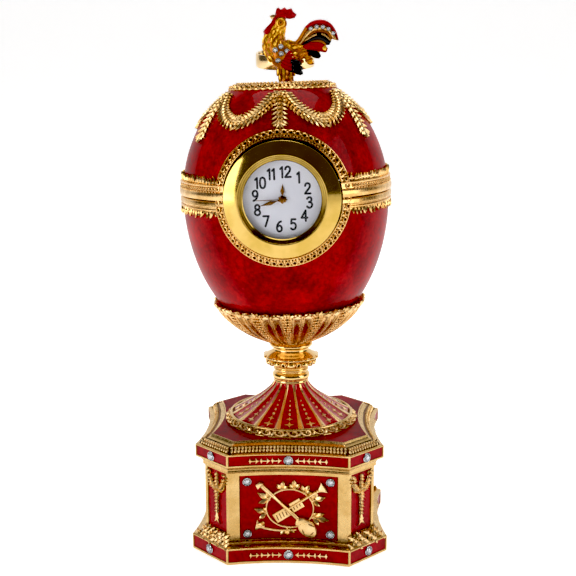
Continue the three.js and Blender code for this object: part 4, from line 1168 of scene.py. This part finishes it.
def numerals(shape, y):
    """The hours, as flat printed figures of round-ended strokes."""
    turn, reach, tall, half = math.radians(8.4), 8.5, 3.3, 0.32
    for hour in range(1, 13):
        angle, text = hour * TURN / 12 + turn, str(hour)
        widths = [0.42 if mark == "1" else 0.68 for mark in text]
        left = -sum(widths) / 2
        for mark, width in zip(text, widths):
            middle = left + width / 2
            left += width
            for kind, points in FIGURES[mark]:
                points = smooth_profile(points, 4) if kind == "curve" else np.asarray(points, float)
                x = CLOCK_SHIFT + reach * math.sin(angle) + (points[:, 0] * 0.92 + middle) * tall
                z = CLOCK_HEIGHT + reach * math.cos(angle) + points[:, 1] * tall
                path = np.stack([x, np.full(len(x), y), z], -1)
                spots = [spot(point, (0, -1, 0)) for point in path]
                for pair in zip(spots[:-1], spots[1:]):
                    strand(shape, pair, half, 0.03, 1, sections=3, sink=0.02)
                for place in spots:
                    stamp(shape, DISC, place, (half, half, 0.03), 1)


def build_hands():
    pivot = np.array([CLOCK_SHIFT, 0, CLOCK_HEIGHT])
    lance = pillow_form([(-0.16, 0.0), (0.16, 0.0), (0.16, 0.25), (0.85, 0.5), (0.30, 0.78), (0.0, 1.0),
                         (-0.30, 0.78), (-0.85, 0.5), (-0.16, 0.25)])
    bar = pillow_form(bar_outline(0.5, 0.35, 0, 1))
    hub_form = pillow_form(star_outline(6, 0.72))
    for body, hub, lift, degrees, outline in (
            ("hour", 1.45, 0.42, 2.4, [(lance, (0.8, 4.9, 0.12), 0), (bar, (0.5, 2.0, 0.12), -0.9)]),
            ("minute", 1.25, 0.95, 255.2, [(lance, (0.8, 7.6, 0.12), 0)]),
            ("second", 0.65, 1.5, 269.4, [(bar, (0.26, 8.1, 0.1), 0), (bar, (0.4, 1.6, 0.1), -1.6)])):
        shape, turn = Shape(), math.radians(degrees)
        up = (math.sin(turn), 0, math.cos(turn))
        place = spot(pivot + (0, CLOCK_FRONT + DIAL_DEPTH - lift, 0), (0, -1, 0), up)
        for form, size, offset in outline:
            stamp(shape, form, place, size, offset=(0, offset))
        stamp(shape, hub_form, place, (hub, hub, 0.16))
        shape.make(body + "_pointer", [BROWN], "hand_metal", body=body, replaces=[body + "_hand"], lean=True)


# Stones

def stone_parts(shape, place, radius, claws=8, finishes=(0, 1, 2, 3)):
    """A cut stone over alternate dark and bright foil wedges, painted reflections of its facets, and a bright
    disc off its middle, a painted highlight, in a ring of claws. Finishes: claws, stone, bright foil and dark
    foil."""
    facets = 8
    claw, stone, *foils = finishes

    def ring(share, heights, angles):
        return [[(math.cos(a) * share, math.sin(a) * share, z) for a in angles] for z in heights]

    girdle, table = spread(facets), spread(facets, 0.5)
    cut = ring(0.98, [0.0], girdle) + ring(1, [0.12], girdle) + ring(0.58, [0.5], table)
    stamp(shape, lofted(cut), place, radius, stone)
    # Alternate bright and dark wedges: painted facet reflections
    for i in range(2 * facets):
        ends = (i + np.array([0, 1])) * TURN / (2 * facets)
        wedge = [[(0, 0, row[0][2]), *row] for row in ring(0.95, (-0.14, -0.06 + 0.04 * (i % 2)), ends)]
        stamp(shape, lofted(wedge), place, radius, foils[i % 2])
    # A bright disc off the middle: painted highlight on the stone's table
    stamp(shape, DISC, place, (0.36 * radius, 0.36 * radius, 0.05), foils[0], 0, (0.06, 0.1))
    points, faces = turned([(1.0, -0.15), (1.2, -0.15), (1.24, 0.1), (1.14, 0.26), (1.02, 0.22)], 20)
    stamp(shape, (points.reshape(-1, 3), faces[:, ::-1]), place, radius, claw)
    for a in spread(claws, 0.5):
        stamp(shape, BEAD, place, (0.13 * radius, 0.17 * radius, 0.36 * radius), claw, math.pi / 2 - a,
              (math.cos(a) * radius, math.sin(a) * radius))


def build_stones():
    slabs = (("cornice", CORNICE_MIDDLE, CORNICE), ("foot", 3.05, FOOT))
    for s, side in enumerate(("front", "right", "back", "left")):
        places = {f"stone_{side}_{slab}": (side_spot(s, 0, z, 0.1, size), 1.35) for slab, z, size in slabs}
        for height, z in (("upper", 27.4), ("lower", 8.8)):
            for hand, a in (("left", -14), ("right", 14)):
                places[f"stone_{side}_{height}_{hand}"] = (side_spot(s, a, z), 1.25)
        for slab, z, size in slabs:
            places[f"stone_corner_{s + 1}_{slab}"] = (corner_spot(s, 0, z, 0.1, size), 1.35)
        for node, (place, radius) in places.items():
            shape = Shape()
            stone_parts(shape, place, radius)
            shape.make("set_" + node, [SILVER, STONE, FOIL_AND_SPARKLE, INK_AND_FACET_REFLECTION], "clear_stone", replaces=[node], sharp=20)


# Cockerel

BIRD_FINISHES = [BIRD_YELLOW, BIRD_ORANGE, COMB_RED, BIRD_BLACK, GOLD, STONE, FOIL_AND_SPARKLE, SILVER]
YELLOW, ORANGE, RED, BLACK, GILT, CLEAR, SHINE, CLAW = range(8)


def plate_form(outline, half, dome=0.35, aside=0.0):
    """A flat feather or comb cut to an outline in x and z, thinner towards its rim on both faces."""
    rows = []
    for scale, depth in ((0.35, -half - dome), (0.8, -half - dome * 0.6), (1, -half * 0.5), (1, half * 0.5),
                         (0.8, half + dome * 0.6), (0.35, half + dome)):
        rows.append([(x, depth + aside, z) for x, z in scaled_about_middle(outline, scale)])
    return lofted(rows)


def ribbon(shape, edge_a, edge_b, half, finish, dome=0.3, steps=18):
    """A feather between two edge curves from root to tip, rounded across on both faces."""
    edges = []
    for edge in (edge_a, edge_b):
        curve = smooth_profile(edge, steps // max(1, len(edge) - 1) + 1)
        share = np.linspace(0, 1, len(curve))
        edges.append(np.stack([np.interp(np.linspace(0, 1, steps), share, curve[:, i]) for i in range(2)], -1))
    across = ((0, 0.5), (0.25, 1), (0.5, 1), (0.75, 1), (1, 0.5))
    rows = []
    for p, q in zip(*edges):
        front = [(*(p + (q - p) * share), half * depth + dome * arc(share)) for share, depth in across]
        rows.append([(x, y, z) for x, z, y in front] + [(x, -y, z) for x, z, y in front[::-1]])
    shape.add(*lofted(rows), finish)


BIRD_SPINE = [
    (6.6, 9.9, 1.5, 1.2), (4.4, 9.5, 2.5, 2.0), (1.6, 9.1, 3.7, 2.9), (-1.2, 9.4, 4.4, 3.4),
    (-3.1, 10.9, 4.5, 3.5),
    (-4.1, 13.0, 4.0, 3.2), (-3.9, 15.4, 3.2, 2.6), (-3.1, 17.7, 2.55, 2.1), (-2.5, 19.6, 2.25, 1.9),
    (-2.3, 21.2, 1.7, 1.5), (-2.2, 22.2, 0.7, 0.7),
]


def build_rooster():
    shape = Shape()
    spine = smooth_profile([(x, z) for x, z, _, _ in BIRD_SPINE], 4)
    widths = smooth_profile([(w, y) for _, _, w, y in BIRD_SPINE], 4)
    along = np.gradient(spine, axis=0)
    along /= np.linalg.norm(along, axis=1)[:, None]
    rows = []
    for (x, z), (dx, dz), (w, y) in zip(spine, along, widths):
        rows.append([(x - dz * w * math.cos(a), y * math.sin(a), z + dx * w * math.cos(a)) for a in spread(24)])
    shape.add(*lofted(rows), ORANGE)
    plumage(shape, spine, along, widths)
    bird_head(shape)
    bird_tail(shape)
    bird_legs(shape)
    for side in (-1, 1):
        bird_wing(shape, side)
    for x, z in ((-1.9, 11.4), (-3.8, 10.3), (0.1, 9.9), (-1.8, 9.1), (-2.9, 6.9)):
        bird_stone(shape, x, 4.05, z, 0.72)
    turn_bird(shape)
    shape.make("cockerel", BIRD_FINISHES, "cockerel_enamel", replaces=["rooster"], lean=True, sharp=50)


def turn_bird(shape):
    """Stands the bird upright on the leaning egg, at its place on the crown."""
    cos, sin = math.cos(LEAN), math.sin(LEAN)
    for i, points in enumerate(shape.points):
        x, y, z = points.T
        across, up = x * cos - z * sin, x * sin + z * cos
        shape.points[i] = np.stack([ROOSTER["x"] + across, y, ROOSTER["foot"] + up], -1)


def plumage(shape, spine, along, widths):
    """Rows of small pointed feathers over the body and neck, pointing down and back."""
    rng = np.random.default_rng(11)
    for i in range(6, len(spine) - 9, 2):
        (x, z), (dx, dz), (w, y) = spine[i], along[i], widths[i]
        nx, nz = -dz, dx
        for k in range(12):
            a = (k + (i // 2 % 2) * 0.5) * TURN / 12
            place = np.array([x + nx * w * math.cos(a), y * math.sin(a), z + nz * w * math.cos(a)])
            out = np.array([nx * math.cos(a) / w, math.sin(a) / y, nz * math.cos(a) / w])
            back = np.array([-dx, 0, -dz])
            finish = YELLOW if (i > 14 or rng.random() < 0.45) else ORANGE
            stamp(shape, LEAF, spot(place - out / np.linalg.norm(out) * 0.1, out, back),
                  (1.3, 2.2, 2.0), finish, rng.uniform(-0.25, 0.25))


def bird_head(shape):
    comb = [(-4.2, 20.4), (-3.9, 22.0), (-3.5, 23.7), (-2.85, 24.2), (-1.97, 23.5), (-0.76, 24.25), (0.0, 23.5),
            (1.5, 23.9), (2.1, 22.8), (3.2, 21.9), (2.6, 20.8), (0.9, 20.4), (-0.2, 20.6), (-1.2, 19.9),
            (-2.4, 20.6), (-3.4, 20.3)]
    shape.add(*plate_form(comb, 0.5, 0.55), RED)
    cap = [(-4.0, 20.2), (-3.9, 21.8), (-2.6, 22.9), (-0.9, 22.6), (0.3, 21.4), (-0.4, 20.7), (-1.6, 20.9),
           (-2.8, 20.1)]
    shape.add(*plate_form(cap, 1.35, 0.45), RED)
    for side in (-1, 1):
        for x, z in ((-3.2, 22.9), (-2.0, 22.7), (-0.6, 23.0), (0.7, 22.6), (1.7, 21.9)):
            stamp(shape, LEAF, spot((x, side * 0.75, z - 1.0), (0, side, 0)), (1.0, 1.6, 1.3), RED)
    wattle = [(-3.0, 21.4), (-4.2, 21.2), (-5.3, 19.3), (-6.9, 17.7), (-7.9, 16.5), (-7.5, 15.2), (-6.7, 14.9),
              (-5.6, 15.4), (-4.7, 17.2), (-3.4, 19.4)]
    shape.add(*plate_form(wattle, 1.5, 0.7), RED)
    beak = [(-3.6, 21.9), (-4.85, 21.9), (-5.85, 21.3), (-5.1, 20.3), (-3.8, 20.3)]
    shape.add(*plate_form(beak, 0.55, 0.35), GILT)
    for side in (-1, 1):
        eye = spot((-2.0, side * 1.75, 19.1), (0, side, 0))
        stamp(shape, DISC, eye, (1.95, 1.95, 0.35), ORANGE)
        stamp(shape, ring_bead_form(18), eye, (1.6, 1.6, 1.0), YELLOW)
        stamp(shape, BEAD, eye, (0.85, 0.85, 0.75), ORANGE)
        stamp(shape, BEAD, eye, (0.45, 0.45, 0.95), BLACK)


def bird_stone(shape, x, y, z, radius=0.62):
    """A small stone on both flanks of the bird."""
    for side in (-1, 1):
        # Their dark wedges take the black enamel: painted facet reflections
        stone_parts(shape, spot((x, y * side, z), (0, side, 0)), radius, 6, (CLAW, CLEAR, SHINE, BLACK))


def bird_tail(shape):
    outer = [(1.6, 12.3), (3.3, 13.8), (4.6, 15.7), (5.95, 17.9), (7.7, 19.4), (9.7, 20.1), (11.5, 20.2),
             (13.2, 19.8), (15.0, 18.5), (16.3, 16.5), (17.0, 14.4), (17.2, 13.5)]
    middle = [(3.2, 12.3), (4.9, 13.9), (5.9, 15.9), (6.9, 17.2), (8.8, 18.45), (11.0, 18.75), (13.2, 18.4),
              (14.8, 17.2), (15.9, 15.6), (16.8, 14.1), (17.1, 13.6)]
    inner = [(4.2, 11.6), (5.1, 12.7), (6.8, 14.4), (8.2, 15.9), (9.9, 16.5), (12.1, 16.5), (14.1, 15.5),
             (15.0, 14.0), (16.9, 13.4)]
    backing = [(2.5, 11.8), (5.4, 15.0), (7.5, 17.4), (11.0, 18.0), (14.2, 16.6), (15.4, 14.4)]
    under = [(4.5, 9.3), (6.5, 9.4), (8.5, 9.2), (10.5, 9.4), (12.4, 11.2), (14.0, 12.8)]
    ribbon(shape, backing, under, 0.35, ORANGE, 0.1, 24)
    ribbon(shape, outer[:4], middle[:4], 0.75, ORANGE, 0.35, 10)
    ribbon(shape, outer[3:], middle[3:], 0.75, RED, 0.35, 24)
    ribbon(shape, middle, inner, 0.65, GILT, 0.3, 28)
    black_top = [(4.3, 11.5), (6.8, 14.3), (8.3, 15.7), (9.9, 16.3), (12.1, 16.3), (13.9, 15.4), (14.8, 13.4)]
    black_low = [(4.6, 11.0), (6.2, 12.0), (8.2, 12.9), (10.2, 13.3), (12.0, 12.8), (13.0, 12.0), (14.1, 12.0)]
    ribbon(shape, black_top, black_low, 0.5, BLACK, 0.3, 24)
    for side in (-1, 1):
        for edge in ([(5.9, 13.4), (8.4, 14.8), (9.9, 15.4)], [(11.4, 15.6), (12.8, 15.0), (14.5, 13.5)]):
            spots = [spot((x, side * 0.85, z), (0, side, 0)) for x, z in smooth_profile(edge, 5)]
            strand(shape, spots, 0.3, 0.3, GILT)
    red_top = [(3.6, 11.6), (5.3, 12.2), (7.1, 12.8), (9.0, 13.1), (11.0, 12.9), (12.6, 12.1), (13.6, 11.0)]
    red_low = [(4.0, 9.8), (6.2, 10.1), (8.2, 10.2), (10.2, 10.1), (11.7, 9.7), (12.8, 9.6), (13.3, 9.9)]
    ribbon(shape, red_top, red_low, 0.8, RED, 0.4, 22)
    tuft = [(11.6, 11.3), (12.7, 12.0), (13.5, 11.0), (12.9, 10.0), (11.9, 10.3)]
    shape.add(*plate_form(tuft, 1.0, 0.3), YELLOW)
    low_top = [(5.4, 10.0), (7.3, 10.5), (9.1, 10.4), (10.7, 9.6), (11.4, 8.4)]
    low_low = [(5.4, 8.4), (7.2, 8.7), (8.4, 8.2), (9.4, 7.7), (10.7, 7.6)]
    ribbon(shape, low_top, low_low, 0.7, BLACK, 0.3, 16)
    for x, z in ((7.9, 17.2), (9.9, 17.8), (11.9, 17.7), (13.8, 17.1), (15.4, 15.7)):
        bird_stone(shape, x, 0.95, z)
    rng = np.random.default_rng(5)
    for i in range(26):
        t = i / 25
        x, z = 2.0 + 5.0 * t, 12.0 - 5.0 * t * t
        for side in (-1, 1):
            where = (x - 0.6 * rng.random(), side * (1.7 - 0.9 * t), z - 0.8)
            place = spot(where, (0.2, side, 0.1), (-1, 0, -0.25))
            stamp(shape, LEAF, place, (1.3, 2.4, 2.0), ORANGE if rng.random() < 0.6 else YELLOW,
                  math.pi + rng.uniform(-0.4, 0.5))


def bird_wing(shape, side):
    """One wing: crimson feathers, three with black tips, and a gold line on each."""
    y = 3.3 * side
    shoulder = [(-4.6, 9.6), (-3.6, 11.6), (-1.6, 12.4), (0.6, 11.2), (1.6, 9.4), (0.4, 7.4), (-1.8, 6.2),
                (-3.9, 6.9)]
    shape.add(*plate_form(shoulder, 0.35, 0.4, y), ORANGE)
    for i, tip in enumerate([(5.1, 2.7), (4.9, 4.3), (4.2, 6.0), (3.2, 7.8), (2.2, 9.2)]):
        root = np.array([-1.8 + 0.45 * i, 5.9 + 0.75 * i])
        axis = np.array(tip) - root
        length = float(np.hypot(*axis))
        dark = i < 3
        layers = [(LEAF, 0.5, 0, (2.8, length * (0.66 if dark else 0.95), 2.2), RED),
                  (LEAF, 0.75, 0.5, (0.6, length * 0.36, 1.4), GILT)]
        if dark:
            layers = [(LEAF, 0.25, 0, (2.9, length, 2.4), BLACK),
                      (BEAD, 0.4, 0.76, (1.05, 2.1, 1.0), BLACK)] + layers
        for form, rise, share, size, finish in layers:
            x, z = root + axis * share
            place = spot((x, y + side * (rise + 0.06 * i), z), (0.05, side, 0))
            stamp(shape, form, place, size, finish, math.atan2(-axis[0] * side, axis[1]))


def bird_legs(shape):
    """The feathered legs, joined into one flaring foot."""
    rows = []
    for z, wide, deep, x in ((0.0, 2.5, 2.3, -0.2), (0.5, 2.35, 2.2, -0.2), (2.0, 2.15, 2.0, -0.3),
                             (3.6, 2.5, 2.2, -0.4), (5.0, 3.1, 2.6, -0.8), (6.2, 3.6, 2.8, -1.2)):
        rows.append([(x + wide * (1 + 0.05 * math.cos(8 * a)) * math.cos(a), deep * math.sin(a), z)
                     for a in spread(48)])
    shape.add(*lofted(rows), ORANGE)
    for i in range(14):
        a = TURN * i / 14
        out = np.array([math.cos(a), math.sin(a), 0])
        for z, radius in ((4.4, 2.75), (2.6, 2.1)):
            place = spot(out * (radius, radius * 0.9, 0) + (-0.4, 0, z), out)
            stamp(shape, LEAF, place, (1.2, 2.5, 1.6), ORANGE if i % 2 else YELLOW, math.pi)


def build_hoop():
    """The polished hoop behind the cockerel."""
    shape = Shape()
    outer, wall, half, bevel, tilt = 10.2, 0.9, 2.3, 0.3, math.radians(9)
    inner = outer - wall
    section = [(inner, bevel - half), (inner + 0.2, -half), (outer - 0.2, -half), (outer, bevel - half),
               (outer + 0.05, 0), (outer, half - bevel), (outer - 0.2, half), (inner + 0.2, half),
               (inner, half - bevel)]
    points, faces = turned(section)
    x, y, z = points.reshape(-1, 3).T
    cos, sin = math.cos(tilt), math.sin(tilt)
    shape.add(np.stack([x - 1.2, y * cos - z * sin + 14.3, y * sin + z * cos + 7.6], -1), faces[:, ::-1])
    turn_bird(shape)
    shape.make("finial_hoop", [HOOP_GOLD], "polished_gold", replaces=["finial_ring"], lean=True)


# Room, light and camera

def build_room():
    """A white sweep: a floor that curves up into a wall far behind."""
    rows = []
    for y, z in [(-2.5, 0)] + [(1.4 + 1.2 * math.sin(t), 1.2 - 1.2 * math.cos(t)) for t in
                               np.linspace(0, math.pi / 2, 13)] + [(2.6, 3.0)]:
        rows.append([(x, y, z) for x in np.linspace(-4, 4, 5)])
    mesh = bpy.data.meshes.new("sweep")
    mesh.from_pydata(np.array(rows).reshape(-1, 3).tolist(), [], quads(len(rows), 5).tolist())
    mesh.materials.append(plain("sweep_white", (0.92, 0.92, 0.92), Roughness=0.75,
                                Emission_Color=(1, 1, 1, 1), Emission_Strength=0.62))
    mesh.shade_smooth()
    add_object("sweep", mesh)


def area_light(name, place, target, size, power):
    data = bpy.data.lights.new(name, "AREA")
    data.shape = "RECTANGLE"
    data.size, data.size_y = size
    data.energy = power
    light = add_object(name, data)
    light.location = place
    light.rotation_euler = (Vector(target) - Vector(place)).to_track_quat("-Z", "Y").to_euler()


def build_light():
    """Wide soft boxes at both sides and overhead; the room in front of the egg is dim."""
    middle = (0, 0, 0.1)
    area_light("left_box", (-0.80, -0.62, 0.27), middle, (0.5, 0.66), 3.7)
    area_light("right_box", (0.95, -0.30, 0.40), middle, (0.45, 0.9), 3.6)
    area_light("top_box", (0.0, 0.05, 0.95), middle, (0.8, 0.55), 4.2)
    world = bpy.data.worlds.new("studio")
    bpy.context.scene.world = world
    world.use_nodes = True
    tree = world.node_tree
    where = tree.nodes.new("ShaderNodeTexCoord")
    split = tree.nodes.new("ShaderNodeSeparateXYZ")
    tree.links.new(where.outputs["Generated"], split.inputs["Vector"])
    shade = ramp(tree, split.outputs["Y"], [(0.0, (0.10, 0.09, 0.085)), (0.35, (0.14, 0.13, 0.125)),
                                            (0.62, (0.8, 0.8, 0.8)), (1.0, (1.0, 1.0, 1.0))])
    tree.links.new(shade, tree.nodes["Background"].inputs["Color"])
    tree.nodes["Background"].inputs["Strength"].default_value = 0.8


def build_camera():
    """The photograph's camera, solved from points on the plinth and the egg."""
    data = bpy.data.cameras.new("camera")
    data.sensor_width, data.lens, data.clip_start = 36, 65.86, 0.01
    right, up, forward = (Vector((0.99936, 0.03578, -0.00294)), Vector((-0.00424, 0.19903, 0.97998)),
                          Vector((-0.03565, 0.97934, -0.19906)))
    place = Vector((12.084, -359.799, 161.346)) * MM
    camera = add_object("camera", data)
    camera.matrix_world = Matrix.Translation(place) @ Matrix((right, up, -forward)).transposed().to_4x4()
    bpy.context.scene.camera = camera
    settings = bpy.context.scene.view_settings
    settings.view_transform = "Standard"
    settings.use_curve_mapping = True
    settings.curve_mapping.black_level = (BLACK_LEVEL,) * 3
    settings.curve_mapping.white_level = (WHITE_LEVEL,) * 3
    settings.curve_mapping.update()


build_camera()
build_room()
build_light()
build_plinth()
build_pedestal()
build_knop()
build_cup()
build_shell()
build_lid()
build_clock()
build_hands()
build_stones()
build_rooster()
build_hoop()
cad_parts["clock_case"].data.materials.clear()
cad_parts["clock_case"].data.materials.append(POLISHED)
